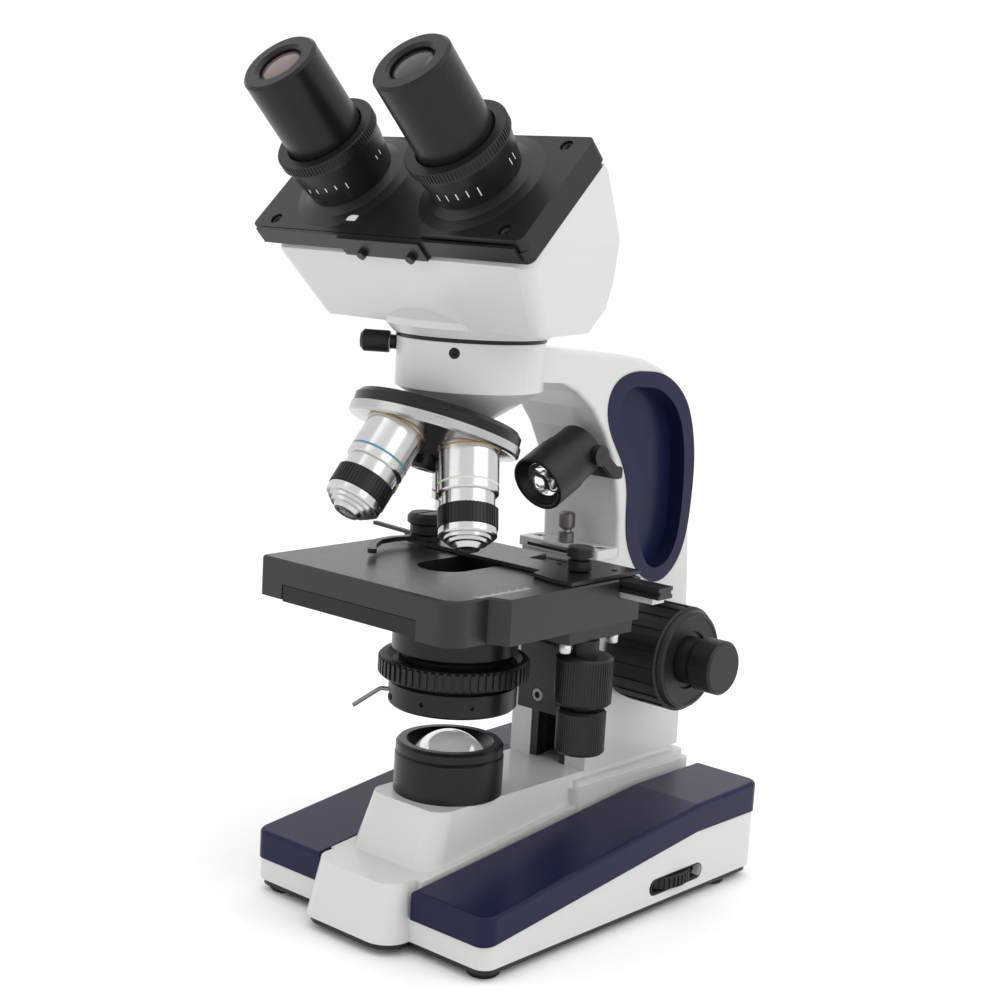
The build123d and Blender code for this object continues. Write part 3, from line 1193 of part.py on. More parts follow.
with BuildPart() as head_plate:
    with BuildSketch(head_plane(-TRAY_DEPTH)):
        with Locations((0, PLATE_SLANT / 2)):
            RectangleRounded(2 * HEAD_HALF_W - 3.0, PLATE_SLANT - 1.6, 3.0)
    extrude(amount=2.4)
    with BuildSketch(head_plane(-TRAY_DEPTH + 2.4)):
        with Locations((0, PLATE_SLANT / 2)):
            RectangleRounded(2 * HEAD_HALF_W - 1.2, PLATE_SLANT, 3.0)
    extrude(amount=TRAY_DEPTH - 2.4 - SLIDE_T - 2 * GAP)
    # lip in front of the sliding plates
    with BuildSketch(head_plane(-TRAY_DEPTH + 2.4)):
        with Locations((0, -LIP_T / 2 + 0.1)):
            Rectangle(2 * HEAD_HALF_W - 8.0, LIP_T)
    extrude(amount=TRAY_DEPTH - 2.4 - GAP)
    # front clip with its two small screws
    with BuildSketch(head_plane(-TRAY_DEPTH + 0.4)):
        with Locations((CLIP_X, -1.1)):
            Rectangle(CLIP_W, 2.6)
    extrude(amount=TRAY_DEPTH - 1.4)
    for x in CLIP_SCREW_X:
        stud = Plane(
            origin=head_plane(-TRAY_DEPTH + 2.0).origin + Vector(x, 0, 0) - head_plane().y_dir * 1.9,
            x_dir=(1, 0, 0), z_dir=-head_plane().y_dir,
        )
        disc(stud, 2.0, 2.4)
save(head_plate.part, "head_plate")


def build_tube(sign, label):
    """Sliding half of the head top with its eyepiece sleeve."""
    low = -SLIDE_T - GAP if sign < 0 else 0.0
    top = low + SLIDE_T if sign < 0 else 2.3
    with BuildPart() as tube:
        with BuildSketch(head_plane(low)):
            if sign < 0:
                with Locations(((-HEAD_HALF_W + 32.0) / 2, PLATE_SLANT / 2)):
                    RectangleRounded(HEAD_HALF_W + 32.0, PLATE_SLANT - 1.0, 3.0)
            else:
                with Locations(((SEAM_X + HEAD_HALF_W) / 2, PLATE_SLANT / 2)):
                    RectangleRounded(HEAD_HALF_W - SEAM_X, PLATE_SLANT - 1.0, 3.0)
        extrude(amount=top - low)
        if sign > 0:
            with BuildSketch(head_plane(-SLIDE_T - GAP)):
                with Locations((HEAD_HALF_W - 5.0, PLATE_SLANT / 2)):
                    RectangleRounded(10.0, PLATE_SLANT - 1.0, 3.0)
            extrude(amount=SLIDE_T + GAP + 0.5)
        turned(eye_plane(sign), [
            (0, low), (BOSS_R, top - 0.1), (BOSS_R - 5.0, top + 1.2), (SLEEVE_LOW_R, top + 3.0),
            (SLEEVE_R, SLEEVE_TOP - 1.0), (SLEEVE_R, SLEEVE_TOP), (0, SLEEVE_TOP),
        ])
        disc(eye_plane(sign, 12.0), EYE_R + GAP, 20, mode=Mode.SUBTRACT)
        disc(eye_plane(sign, low - 1), 11.95, 20, mode=Mode.SUBTRACT)
        for x, s in ((PLATE_HOLE_X, PLATE_HOLE_S), (PLATE_HOLE_X, PLATE_SLANT - PLATE_HOLE_S)):
            pad = head_plane(top)
            hole = Plane(origin=pad.origin + Vector(sign * x, 0, 0) + pad.y_dir * s, z_dir=pad.z_dir)
            disc(hole, 2.7, -1.8, mode=Mode.SUBTRACT)
    save(tube.part, label)


def build_ocular(sign, side_name):
    """Eyepiece and the knurled focusing ring round it."""
    with BuildPart() as ring:
        with BuildSketch(eye_plane(sign, DIOPTER_LOW)):
            Circle(DIOPTER_R)
            Circle(EYE_R + GAP, mode=Mode.SUBTRACT)
        extrude(amount=DIOPTER_TOP - DIOPTER_LOW)
        chamfer(ring.faces().sort_by(Axis(eye_plane(sign).origin, eye_plane(sign).z_dir))[-1].edges(), 0.5)
        flutes(eye_plane(sign, DIOPTER_LOW), DIOPTER_R, 90, 0.6, DIOPTER_TOP - DIOPTER_LOW)
    save(ring.part, side_name + "_diopter_ring")
    with BuildPart() as ocular:
        turned(eye_plane(sign), [
            (0, 3.0), (11.6, 3.0), (11.6, 12.0 + GAP), (EYE_R, 12.0 + GAP), (EYE_R, EYE_TOP - 1.2),
            (EYE_R - 1.2, EYE_TOP), (EYE_OPEN_R + 1.4, EYE_TOP), (EYE_OPEN_R, EYE_TOP - 1.2),
            (EYE_OPEN_R, EYE_TOP - 3.2), (EYE_OPEN_R - 4, EYE_TOP - 2.6), (0, EYE_TOP - 2.3),
        ])
    save(ocular.part, side_name + "_eyepiece")


build_tube(-1, "left_tube")
build_tube(1, "right_tube")
build_ocular(-1, "left")
build_ocular(1, "right")

with BuildPart() as head_clamp_screw:
    tip = clamp_hole.offset(24.4)
    turned(tip, [
        (0, 0), (2.0, 0), (2.0, 7.0), (3.0, 7.0), (3.0, 9.6), (CLAMP_HEAD_R - 0.6, 9.6),
        (CLAMP_HEAD_R, 10.2), (CLAMP_HEAD_R, 20.6), (CLAMP_HEAD_R - 1.4, 22.0), (0, 22.0),
    ])
    flutes(tip.offset(10.2), CLAMP_HEAD_R, 26, 0.5, 10.4)
save(head_clamp_screw.part, "head_clamp_screw")
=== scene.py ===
"""Binocular compound microscope: finishes, small details, studio light and camera."""
import json
from math import cos, pi, radians, sin

import bmesh
import bpy
from mathutils import Matrix, Vector


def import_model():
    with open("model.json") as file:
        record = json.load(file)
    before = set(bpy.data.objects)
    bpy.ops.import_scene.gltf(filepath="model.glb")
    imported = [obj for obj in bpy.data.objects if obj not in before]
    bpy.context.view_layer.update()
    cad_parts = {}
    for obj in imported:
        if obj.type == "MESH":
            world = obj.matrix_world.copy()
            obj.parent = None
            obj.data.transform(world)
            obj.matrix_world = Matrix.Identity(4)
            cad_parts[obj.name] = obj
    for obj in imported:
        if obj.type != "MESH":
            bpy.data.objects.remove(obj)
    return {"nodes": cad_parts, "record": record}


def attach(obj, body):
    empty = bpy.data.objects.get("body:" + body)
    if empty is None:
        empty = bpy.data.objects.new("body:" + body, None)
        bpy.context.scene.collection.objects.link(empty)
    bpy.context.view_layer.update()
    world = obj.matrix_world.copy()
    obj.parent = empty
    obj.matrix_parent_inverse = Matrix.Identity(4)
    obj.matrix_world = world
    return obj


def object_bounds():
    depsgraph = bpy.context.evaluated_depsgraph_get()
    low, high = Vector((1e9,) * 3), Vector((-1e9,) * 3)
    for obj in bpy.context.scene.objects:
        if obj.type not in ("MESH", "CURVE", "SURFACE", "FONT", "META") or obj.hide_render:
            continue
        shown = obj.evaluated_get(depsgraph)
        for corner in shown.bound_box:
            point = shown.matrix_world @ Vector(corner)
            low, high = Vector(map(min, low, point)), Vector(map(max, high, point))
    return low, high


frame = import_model()
cad_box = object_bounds()
NODES = frame["nodes"]
JOINTS = {j["name"]: j for j in frame["record"]["behaviour"]["joints"]}
MM = 0.001

# ---------------------------------------------------------------- camera, as the photograph was taken
VIEW_AZIMUTH = radians(41.06)
VIEW_ELEVATION = radians(9.32)
VIEW_ROLL = radians(3.28)
VIEW_DISTANCE = 0.7663
VIEW_SIDE = 0.0156
VIEW_HEIGHT = 0.1809
LENS_MM = 65.54

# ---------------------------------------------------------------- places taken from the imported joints
OPTICAL = Vector(JOINTS["condenser_ring_turn"]["pos_m"])
OPTICAL.z = 0.0


def axis_of(joint):
    """(point, unit direction) of a joint's axis."""
    j = JOINTS[joint]
    return Vector(j["pos_m"]), Vector(j["axis"]).normalized()


def aim(origin, z_axis, x_hint=(1, 0, 0)):
    """Placement whose Z runs along z_axis and whose X leans to x_hint."""
    z = Vector(z_axis).normalized()
    x = Vector(x_hint) - z * Vector(x_hint).dot(z)
    x.normalize()
    y = z.cross(x)
    m = Matrix((x, y, z)).transposed().to_4x4()
    m.translation = Vector(origin)
    return m


# ================================================================ materials
class Nodes:
    """Small helper that adds shader nodes and links them."""

    def __init__(self, name):
        self.material = bpy.data.materials.new(name)
        self.material.use_nodes = True
        self.tree = self.material.node_tree
        self.shader = self.tree.nodes["Principled BSDF"]
        self.place = self.add("ShaderNodeTexCoord").outputs["Object"]

    def add(self, kind, **values):
        node = self.tree.nodes.new(kind)
        for key, value in values.items():
            if hasattr(node, key):
                setattr(node, key, value)
            else:
                node.inputs[key].default_value = value
        return node

    def link(self, a, b):
        self.tree.links.new(a, b)

    def noise(self, scale, detail=4.0, rough=0.55, vector=None):
        n = self.add("ShaderNodeTexNoise")
        n.inputs["Scale"].default_value = scale
        n.inputs["Detail"].default_value = detail
        n.inputs["Roughness"].default_value = rough
        self.link(vector or self.place, n.inputs["Vector"])
        return n.outputs["Fac"]

    def span(self, value, low, high, from_low=0.3, from_high=0.7):
        n = self.add("ShaderNodeMapRange")
        n.inputs["From Min"].default_value = from_low
        n.inputs["From Max"].default_value = from_high
        n.inputs["To Min"].default_value = low
        n.inputs["To Max"].default_value = high
        self.link(value, n.inputs["Value"])
        return n.outputs["Result"]

    def blend(self, fac, a, b):
        n = self.add("ShaderNodeMix", data_type="RGBA")
        for socket, value in ((n.inputs[6], a), (n.inputs[7], b)):
            if isinstance(value, tuple):
                socket.default_value = (*value, 1.0)
            else:
                self.link(value, socket)
        self.link(fac, n.inputs[0])
        return n.outputs[2]

    def scratches(self):
        """Faint hairline scratches, long in one direction."""
        stretch = self.add("ShaderNodeMapping")
        stretch.inputs["Scale"].default_value = (1.0, 0.9, 0.06)
        stretch.inputs["Rotation"].default_value = (0.4, 0.7, 0.2)
        self.link(self.place, stretch.inputs["Vector"])
        return self.span(self.noise(1500.0, 2.0, 0.5, stretch.outputs["Vector"]), 0.0, 0.55, 0.66, 0.74)

    def bump(self, height, strength, distance):
        n = self.add("ShaderNodeBump")
        n.inputs["Strength"].default_value = strength
        n.inputs["Distance"].default_value = distance
        self.link(height, n.inputs["Height"])
        self.link(n.outputs["Normal"], self.shader.inputs["Normal"])


def finish(name, colour, rough, metallic=0.0, vary=0.06, grain=900.0, bump=0.12, depth=0.00008,
           worn=None, coat=0.0, rough_span=0.025, specular=0.5):
    """Painted, moulded or anodised surface: clouded colour, fine grain and faint hairline scratches."""
    n = Nodes(name)
    dark = tuple(c * (1.0 - vary) for c in colour)
    light = tuple(min(1.0, c * (1.0 + vary)) for c in colour)
    base = n.blend(n.span(n.noise(55.0, 6.0), 0.0, 1.0), dark, light)
    if worn:
        base = n.blend(n.scratches(), base, worn)
    n.link(base, n.shader.inputs["Base Color"])
    rough_map = n.span(n.noise(260.0, 4.0), max(0.02, rough - rough_span), rough + rough_span)
    n.link(rough_map, n.shader.inputs["Roughness"])
    n.shader.inputs["Metallic"].default_value = metallic
    n.shader.inputs["Coat Weight"].default_value = coat
    n.shader.inputs["Coat Roughness"].default_value = 0.12
    n.shader.inputs["Specular IOR Level"].default_value = specular
    n.bump(n.noise(grain, 2.0), bump, depth)
    return n.material


def turned_metal(name, colour, origin, direction, rough=0.2, lines=5200.0, bump=0.22, metallic=1.0):
    """Lathe-turned metal: fine rings along one axis, slightly uneven in brightness."""
    n = Nodes(name)
    along = n.add("ShaderNodeVectorMath", operation="DOT_PRODUCT")
    along.inputs[1].default_value = tuple(direction)
    n.link(n.place, along.inputs[0])
    ring = n.add("ShaderNodeCombineXYZ")
    n.link(along.outputs["Value"], ring.inputs["Z"])
    rings = n.noise(lines, 3.0, 0.6, ring.outputs["Vector"])
    base = n.blend(n.span(rings, 0.0, 1.0), tuple(c * 0.86 for c in colour), colour)
    smudge = n.blend(n.span(n.noise(90.0, 5.0), 0.0, 0.35), base, tuple(c * 0.72 for c in colour))
    n.link(smudge, n.shader.inputs["Base Color"])
    n.link(n.span(rings, rough * 0.75, rough * 1.35), n.shader.inputs["Roughness"])
    n.shader.inputs["Metallic"].default_value = metallic
    n.bump(rings, bump, 0.00004)
    return n.material


def glass(name, tint, rough=0.02, transmission=1.0, metallic=0.0, painted_glow=0.0):
    """Polished lens with a thin coloured coating that varies a little over the surface; a non-zero glow value is
    painted light, an emission in the tint that brightens the lens.
    """
    n = Nodes(name)
    other = tuple(c * 0.9 for c in tint)
    n.link(n.blend(n.span(n.noise(40.0), 0.0, 1.0), other, tint), n.shader.inputs["Base Color"])
    n.link(n.span(n.noise(200.0), rough, rough * 2.5), n.shader.inputs["Roughness"])
    n.shader.inputs["Transmission Weight"].default_value = transmission
    n.shader.inputs["Metallic"].default_value = metallic
    n.shader.inputs["IOR"].default_value = 1.52
    # emission here is painted light: it brightens the glass as though lit, not a lamp
    n.shader.inputs["Emission Color"].default_value = (*tint, 1.0)
    n.shader.inputs["Emission Strength"].default_value = painted_glow
    return n.material


WHITE = finish("white_enamel", (0.565, 0.565, 0.556), 0.34, vary=0.006, grain=1500.0, bump=0.16, coat=0.3,
               worn=(0.6, 0.6, 0.59), rough_span=0.015)
NAVY = finish("navy_paint", (0.0065, 0.0095, 0.037), 0.3, vary=0.03, grain=1300.0, bump=0.2, coat=0.05,
              specular=0.15, worn=(0.012, 0.015, 0.046), rough_span=0.015)
BLACK_PAINT = finish("black_paint", (0.009, 0.009, 0.009), 0.34, vary=0.04, grain=1900.0, bump=0.3, depth=0.0001,
                     worn=(0.016, 0.016, 0.016), specular=0.35, rough_span=0.015)
STAGE_BLACK = finish("stage_black", (0.01, 0.01, 0.01), 0.29, vary=0.04, grain=2400.0, bump=0.35, depth=0.00009,
                     worn=(0.018, 0.018, 0.018), specular=0.42, rough_span=0.015)
ANODISED = finish("black_anodised", (0.009, 0.0085, 0.0085), 0.3, vary=0.04, metallic=0.1, grain=2100.0, bump=0.2,
                  worn=(0.018, 0.017, 0.016), specular=0.28, rough_span=0.015)
PLASTIC = finish("black_plastic", (0.0095, 0.0095, 0.009), 0.42, vary=0.04, grain=1700.0, bump=0.4,
                 depth=0.00012, worn=(0.016, 0.016, 0.016), specular=0.3, rough_span=0.02)
RUBBER = finish("black_rubber", (0.009, 0.009, 0.009), 0.75, vary=0.08, grain=1100.0, bump=0.6, depth=0.0002,
                specular=0.2)
GREY_STEEL = finish("grey_steel", (0.2, 0.195, 0.19), 0.38, metallic=0.85, vary=0.1, grain=2600.0, bump=0.3,
                    worn=(0.3, 0.3, 0.29), rough_span=0.05)
NICKEL = finish("satin_nickel", (0.6, 0.6, 0.59), 0.32, metallic=0.5, vary=0.04, grain=2600.0, bump=0.15)
BRIGHT = finish("bright_steel", (0.75, 0.75, 0.74), 0.16, metallic=1.0, vary=0.06, grain=2600.0, bump=0.08)
MIRROR = finish("reflector", (0.9, 0.9, 0.9), 0.06, metallic=1.0, vary=0.03, grain=500.0, bump=0.05)
BRASS = finish("brass", (0.42, 0.26, 0.1), 0.3, metallic=1.0, vary=0.15, grain=1500.0, bump=0.2)
MARK = finish("white_marks", (0.75, 0.75, 0.73), 0.5, vary=0.05, grain=2500.0, bump=0.1)
TEAL = finish("teal_enamel", (0.03, 0.2, 0.25), 0.3, vary=0.1, coat=0.3)
CREAM = finish("cream_enamel", (0.6, 0.57, 0.47), 0.35, vary=0.05, coat=0.3)
RED = finish("red_enamel", (0.45, 0.03, 0.02), 0.3, vary=0.08, coat=0.3)
YELLOW = finish("yellow_enamel", (0.62, 0.4, 0.04), 0.3, vary=0.08, coat=0.3)
# field lens: a faint painted glow brightens the dome, painted light rather than lamp light
FIELD_GLASS = glass("field_glass", (0.93, 0.94, 0.95), 0.05, transmission=0.15, metallic=0.5, painted_glow=0.16)
LENS_AMBER = glass("eye_lens_amber", (0.21, 0.155, 0.14), 0.04, transmission=0.15, metallic=0.3)
LENS_DARK = glass("eye_lens_dark", (0.045, 0.045, 0.04), 0.04, transmission=0.15, metallic=0.3)
LENS_CLEAR = glass("lens_clear", (0.8, 0.84, 0.86), 0.02)

nose_point, nose_axis = axis_of("nosepiece_turn")
TILT = radians(20)


def objective_axis(turn):
    """Direction of the objective that is turn degrees round from the working place."""
    a = radians(turn)
    e2 = Vector((0, -nose_axis.z, nose_axis.y))
    out = Vector((sin(a), 0, 0)) + e2 * cos(a)
    return (nose_axis * cos(TILT) + out * sin(TILT)).normalized()


CHROME = {
    name: turned_metal("chrome_" + name, (0.63, 0.625, 0.615), nose_point, objective_axis(turn), rough=0.17)
    for name, turn in (("4x", 0), ("10x", 270), ("40x", 180), ("100x", 90))
}
CLICK_METAL = turned_metal("click_ring_metal", (0.5, 0.5, 0.5), nose_point, nose_axis, rough=0.2)

FINISHES = {
    WHITE: ["base_casting", "arm_casting", "stop_plate", "head_casting"],
    NAVY: ["left_wing_cover", "right_wing_cover", "left_grip_insert", "right_grip_insert"],
    BLACK_PAINT: ["base_plate", "stage_bracket", "lamp_bracket", "head_plate", "left_tube", "right_tube",
                  "spring_finger", "drive_block", "focus_way"],
    STAGE_BLACK: ["stage_plate", "slide_holder"],
    ANODISED: ["collector_housing", "head_seat_ring", "focus_slide", "condenser_carrier", "stage_carriage",
               "condenser_housing", "turret_disc", "left_eyepiece", "right_eyepiece", "objective_knurls",
               "clamp_knob"],
    PLASTIC: ["power_inlet", "brightness_dial", "coarse_knobs", "fine_knobs", "y_knob", "x_knob", "finger_cap",
              "condenser_ring", "upper_lamp", "left_diopter_ring", "right_diopter_ring", "head_clamp_screw"],
    RUBBER: ["rubber_feet"],
    GREY_STEEL: ["stop_screw", "iris_lever", "stop_plate_screws", "bracket_screw"],
    NICKEL: ["holder_rack"],
    CLICK_METAL: ["click_ring"],
    CHROME["4x"]: ["objective_4x"],
    CHROME["10x"]: ["objective_10x"],
    CHROME["40x"]: ["objective_40x"],
    CHROME["100x"]: ["objective_100x"],
    TEAL: ["colour_ring_40x"],
    CREAM: ["colour_ring_100x"],
    RED: ["colour_ring_4x"],
    YELLOW: ["colour_ring_10x"],
    FIELD_GLASS: ["field_lens"],
    LENS_CLEAR: ["condenser_lens", "objective_lenses"],
}
for material, names in FINISHES.items():
    for name in names:
        node = NODES[name]
        node.data.materials.clear()
        node.data.materials.append(material)

# softened edges on the machined and cast parts: node, radius in mm
SOFT_EDGES = {
    "base_casting": 1.6, "stage_plate": 0.5, "stage_bracket": 0.5, "stop_plate": 0.6, "head_plate": 0.5,
    "left_tube": 0.45, "right_tube": 0.45, "slide_holder": 0.25, "drive_block": 0.5, "holder_rack": 0.2,
    "stage_carriage": 0.4, "lamp_bracket": 0.4, "base_plate": 0.4, "spring_finger": 0.3,
    "head_casting": 1.6, "arm_casting": 0.7, "focus_slide": 0.3,
}


def soften(node, radius):
    """Round the sharp edges of a CAD node with a bevel modifier."""
    bevel = node.modifiers.new("soft_edges", "BEVEL")
    bevel.width = radius * MM
    bevel.segments = 3
    bevel.limit_method = "ANGLE"
    bevel.angle_limit = radians(32)
    bevel.use_clamp_overlap = True
    bevel.harden_normals = True


for name, radius in SOFT_EDGES.items():
    soften(NODES[name], radius)


# ================================================================ mesh helpers
def add_mesh(name, bm, material, body, smooth=True):
    """Turn a bmesh into a named piece that rides on a body."""
    mesh = bpy.data.meshes.new(name)
    bmesh.ops.recalc_face_normals(bm, faces=bm.faces)
    bm.to_mesh(mesh)
    bm.free()
    for face in mesh.polygons:
        face.use_smooth = smooth
    mesh.materials.append(material)
    piece = bpy.data.objects.new(name, mesh)
    bpy.context.scene.collection.objects.link(piece)
    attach(piece, body)
    return piece


def lathe(profile, place, steps=96):
    """Solid of revolution: profile is (radius, height) in mm, closed on the axis or as a ring."""
    bm = bmesh.new()
    rows = []
    for i in range(steps):
        a = 2 * pi * i / steps
        rows.append([bm.verts.new(place @ Vector((r * MM * cos(a), r * MM * sin(a), h * MM))) for r, h in profile])
    for i in range(steps):
        here, there = rows[i], rows[(i + 1) % steps]
        for k in range(len(profile)):
            m = (k + 1) % len(profile)
            bm.faces.new((here[k], there[k], there[m], here[m]))
    bmesh.ops.remove_doubles(bm, verts=bm.verts, dist=1e-7)
    return bm


def hex_socket(place, radius, height, socket):
    """Cap screw head with a hexagon socket."""
    bm = lathe([(0, 0), (radius, 0), (radius, height - 0.3), (radius - 0.3, height), (socket, height),
                (socket, height - 1.0), (0, height - 1.0)], place, 36)
    return bm


def plates(boxes):
    """Several rounded bars in one mesh: each is (placement, (x, y, z) size in mm)."""
    bm = bmesh.new()
    for place, size in boxes:
        made = bmesh.ops.create_cube(bm, size=1.0)["verts"]
        bmesh.ops.scale(bm, vec=Vector(size) * MM, verts=made)
        bmesh.ops.transform(bm, matrix=place, verts=made)
    bmesh.ops.bevel(bm, geom=bm.edges[:], offset=min(min(s) for _, s in boxes) * 0.25 * MM, segments=2,
                    affect="EDGES")
    return bm


# ================================================================ eyepieces
EYE_TOP = 61.3 - 23.0     # from the diopter ring's mid-height, in mm
SLEEVE_LOW = -20.0
SLEEVE_HIGH = -3.4
SLEEVE_R_LOW = 18.3
SLEEVE_R_HIGH = 20.4


def dress_eyepiece(side_name, coating):
    """Lens and scale marks of one eyepiece."""
    origin, direction = axis_of(side_name + "_diopter_turn")
    place = aim(origin, direction)
    lens = lathe([(9.0, EYE_TOP - 3.1), (9.0, EYE_TOP - 2.4), (7.6, EYE_TOP - 1.9), (5.4, EYE_TOP - 1.5),
                  (2.8, EYE_TOP - 1.25), (0, EYE_TOP - 1.2), (0, EYE_TOP - 2.8)], place)
    add_mesh(side_name + "_eye_lens", lens, coating, side_name + "_ocular")
    marks = []
    for degree in (-97, -84, -71, -58, -45, 5, 14):
        a = radians(degree)
        long = degree == -45
        top = -9.2
        tall = 4.6 if long else 3.0
        mid = top - tall / 2
        radius = SLEEVE_R_LOW + (SLEEVE_R_HIGH - SLEEVE_R_LOW) * (mid - SLEEVE_LOW) / (SLEEVE_HIGH - SLEEVE_LOW)
        out = Vector((cos(a), sin(a), 0))
        spot = aim(out * (radius + 0.02) * MM + Vector((0, 0, mid * MM)), out, (0, 0, 1))
        marks.append((place @ spot, (tall, 0.42, 0.1)))
    tube = side_name + "_ocular_tube"
    add_mesh(side_name + "_scale_marks", plates(marks), MARK, tube, smooth=False)


dress_eyepiece("left", LENS_AMBER)
dress_eyepiece("right", LENS_DARK)

# ================================================================ head details
SLOPE = Vector((0, cos(pi / 4), sin(pi / 4)))
OUTWARD = axis_of("left_diopter_turn")[1]
LEFT_EYE = axis_of("left_diopter_turn")[0] - OUTWARD * 23.0 * MM
PLATE_EDGE = LEFT_EYE - SLOPE * 29.2 * MM
PLATE_EDGE.x = 0.0


def on_head(x, up, out):
    """Point on the sloping head top, in mm from its front edge."""
    return PLATE_EDGE + Vector((x, 0, 0)) * MM + SLOPE * up * MM + OUTWARD * out * MM


add_mesh("left_index_mark", plates([(aim(on_head(-20.5, 8.3, 0.05), OUTWARD), (5.0, 3.0, 0.5))]), MARK,
         "left_ocular_tube", smooth=False)
for side_name, sign, top in (("left", -1, -0.35), ("right", 1, 2.3)):
    for label, up in (("front", 5.4), ("back", 51.2)):
        place = aim(on_head(sign * 63.5, up, top - 1.75), OUTWARD)
        add_mesh(f"{side_name}_{label}_plate_screw", hex_socket(place, 2.4, 1.0, 1.2), PLASTIC,
                 side_name + "_ocular_tube")

# ================================================================ arm and clamp details
clamp_point, clamp_axis = axis_of("head_clamp_turn")
collar = lathe([(3.05, -6.2), (4.0, -6.2), (4.0, -4.6), (3.05, -4.6)], aim(clamp_point, clamp_axis, (0, 0, 1)))
add_mesh("head_clamp_collar", collar, BRIGHT, "clamp")
SET_ANGLE = radians(300)
set_out = Vector((cos(SET_ANGLE), sin(SET_ANGLE), 0))
set_at = OPTICAL + set_out * 28.6 * MM + Vector((0, 0, 244.0 * MM))
add_mesh("arm_set_screw", hex_socket(aim(set_at, set_out, (0, 0, 1)), 2.2, 1.6, 1.0), PLASTIC, "stand")

# ================================================================ objectives
SEAT_DROP = (33.4 - 21.6) * sin(TILT) / cos(TILT)
for name, turn in (("4x", 0), ("10x", 270), ("40x", 180), ("100x", 90)):
    a = radians(turn)
    e2 = Vector((0, -nose_axis.z, nose_axis.y))
    out = Vector((sin(a), 0, 0)) + e2 * cos(a)
    seat = nose_point + nose_axis * SEAT_DROP * MM + out * 21.6 * MM
    line = lathe([(12.5, -0.35), (12.85, -0.35), (12.85, 0.25), (12.5, 0.25)], aim(seat, objective_axis(turn)))
    add_mesh("seat_ring_" + name, line, BRASS, "nosepiece")

# ================================================================ upper lamp
lamp_point = Vector(JOINTS["lamp_tilt"]["pos_m"])
LAMP_TILT = radians(26)
lamp_front = Vector((0, -cos(LAMP_TILT), -sin(LAMP_TILT)))
lamp_place = aim(lamp_point, lamp_front)
bowl = lathe([(8.3, 24.4), (6.5, 21.6), (4.7, 18.8), (3.1, 16.3), (2.3, 15.2), (2.1, 15.3), (2.9, 16.7),
              (4.4, 19.1), (6.1, 21.8), (7.8, 24.5)], lamp_place)
add_mesh("lamp_reflector", bowl, MIRROR, "lamp")
bulb = lathe([(0, 15.1), (2.0, 15.1), (2.0, 18.6), (1.6, 20.0), (0.8, 20.8), (0, 21.0)], lamp_place, 32)
add_mesh("lamp_led", bulb, LENS_CLEAR, "lamp")
rim = lathe([(10.5, 26.8), (11.3, 28.1), (12.3, 28.15), (12.6, 27.4), (12.75, 27.4), (12.5, 28.4), (11.2, 28.4),
             (10.3, 27.2)], lamp_place)
add_mesh("lamp_rim", rim, PLASTIC, "lamp")

# ================================================================ dial slot
def slot_liner():
    """Black lining inside the brightness dial's slot."""
    half_long, outer, wall = 15.2, 3.72, 0.55
    loops = []
    for x, radius in ((68.45, outer), (68.45, outer - wall), (61.0, outer - wall), (61.0, outer)):
        loop = []
        for k in range(48):
            a = 2 * pi * k / 48
            y = 79.0 + (half_long if cos(a) >= 0 else -half_long) + radius * cos(a)
            loop.append(OPTICAL + Vector((x, y, 13.0 + radius * sin(a))) * MM)
        loops.append(loop)
    bm = bmesh.new()
    rows = [[bm.verts.new(p) for p in loop] for loop in loops]
    for i, row in enumerate(rows):
        after = rows[(i + 1) % 4]
        for k in range(48):
            m = (k + 1) % 48
            bm.faces.new((row[k], row[m], after[m], after[k]))
    return bm


add_mesh("dial_slot_liner", slot_liner(), PLASTIC, "stand")

# ================================================================ stage details
def on_optical(x, y, z):
    """Point in mm from the optical axis and the bench."""
    return OPTICAL + Vector((x, y, z)) * MM


STAGE_TOP = 152.5
ticks = []
for i in range(31):
    wide = 3.6 if i % 5 == 0 else 2.2
    ticks.append((Matrix.Translation(on_optical(50.4 - wide / 2, -42.0 + i, STAGE_TOP)), (wide, 0.3, 0.06)))
add_mesh("stage_scale_marks", plates(ticks), MARK, "stage_top", smooth=False)
for i, y in enumerate((4.7, 35.7)):
    stop = lathe([(0, 0.3), (2.0, 0), (2.4, 0.4), (2.4, 3.9), (0, 3.9)],
                 Matrix.Translation(on_optical(56.4, y, 124.8)), 48)
    add_mesh(f"drive_stop_pin_{i + 1}", stop, NICKEL, "stage_top")

# ================================================================ floor, lights and camera
low, high = (Vector(v) for v in cad_box)


def floor():
    """Pale flat floor under the object."""
    bm = bmesh.new()
    bmesh.ops.create_grid(bm, x_segments=8, y_segments=8, size=6.0)
    mesh = bpy.data.meshes.new("floor")
    bm.to_mesh(mesh)
    bm.free()
    mat = finish("floor_paper", (0.955, 0.955, 0.955), 0.75, vary=0.004, grain=300.0, bump=0.02, specular=0.2)
    mesh.materials.append(mat)
    obj = bpy.data.objects.new("floor", mesh)
    obj.location = (0, 0, low.z)
    bpy.context.scene.collection.objects.link(obj)


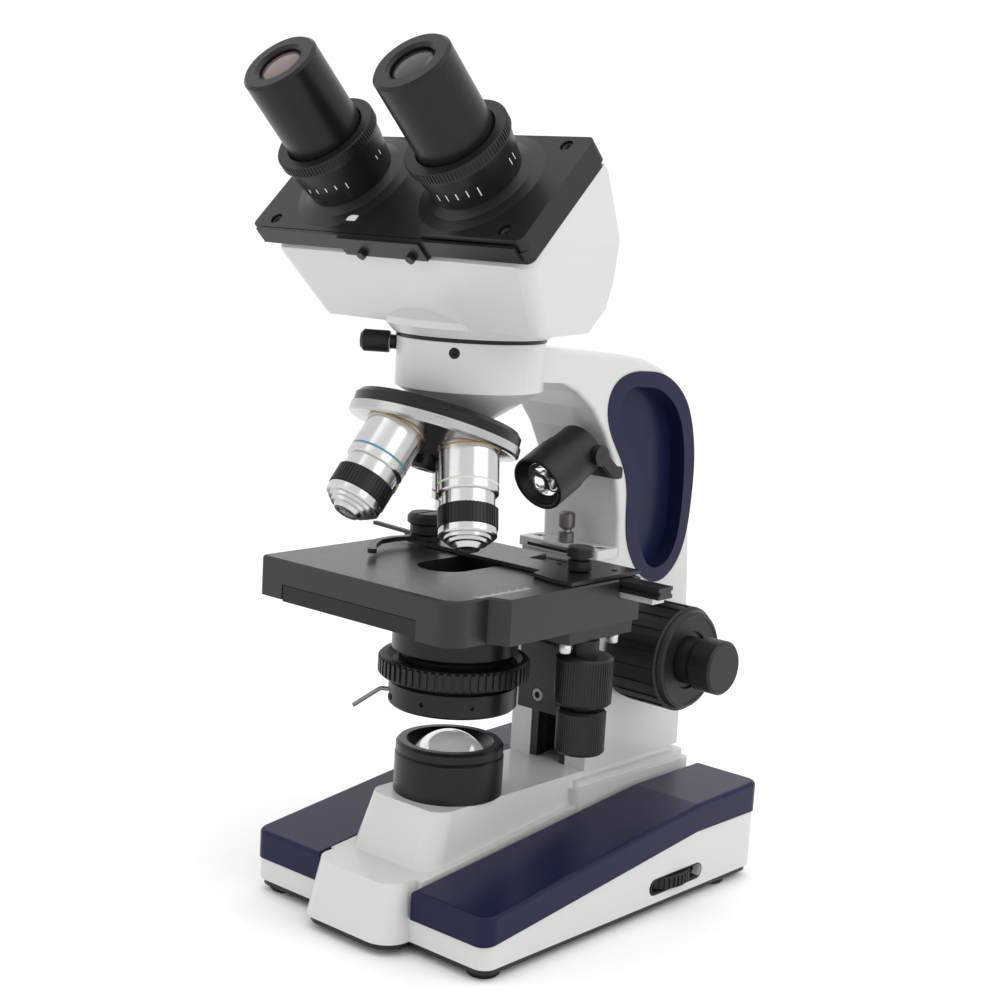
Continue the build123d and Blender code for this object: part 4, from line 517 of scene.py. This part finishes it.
def softbox(name, azimuth, elevation, distance, size, power):
    """Large area light aimed at the middle of the object."""
    a, e = radians(azimuth), radians(elevation)
    out = Vector((sin(a) * cos(e), -cos(a) * cos(e), sin(e)))
    middle = (low + high) / 2
    data = bpy.data.lights.new(name, "AREA")
    data.shape = "RECTANGLE"
    data.size, data.size_y = size
    data.energy = power
    light = bpy.data.objects.new(name, data)
    light.matrix_world = aim(middle + out * distance, out, (cos(a), sin(a), 0))
    bpy.context.scene.collection.objects.link(light)


def world(level):
    """Even white surroundings."""
    w = bpy.data.worlds.new("studio")
    w.use_nodes = True
    w.node_tree.nodes["Background"].inputs["Color"].default_value = (1.0, 1.0, 1.0, 1.0)
    w.node_tree.nodes["Background"].inputs["Strength"].default_value = level
    bpy.context.scene.world = w


def camera():
    """Camera at the photograph's place, with its slight roll."""
    right = Vector((cos(VIEW_AZIMUTH), sin(VIEW_AZIMUTH), 0))
    back = Vector((sin(VIEW_AZIMUTH) * cos(VIEW_ELEVATION), -cos(VIEW_AZIMUTH) * cos(VIEW_ELEVATION),
                   sin(VIEW_ELEVATION)))
    up = back.cross(right)
    right_rolled = right * cos(VIEW_ROLL) + up * sin(VIEW_ROLL)
    up_rolled = up * cos(VIEW_ROLL) - right * sin(VIEW_ROLL)
    place = Matrix((right_rolled, up_rolled, back)).transposed().to_4x4()
    target = OPTICAL + Vector((0, 0, VIEW_HEIGHT)) + right * VIEW_SIDE
    place.translation = target + back * VIEW_DISTANCE
    data = bpy.data.cameras.new("camera")
    data.lens = LENS_MM
    data.sensor_width = 36.0
    data.clip_end = 20.0
    cam = bpy.data.objects.new("camera", data)
    cam.matrix_world = place
    bpy.context.scene.collection.objects.link(cam)
    bpy.context.scene.camera = cam


floor()
world(1.06)
softbox("key_right", 100, 38, 1.3, (1.1, 0.9), 4.0)
softbox("top", 20, 80, 1.3, (1.2, 1.0), 3.0)
softbox("front_left", -25, 25, 1.5, (0.9, 1.2), 1.5)
camera()
bpy.context.scene.view_settings.view_transform = "Standard"
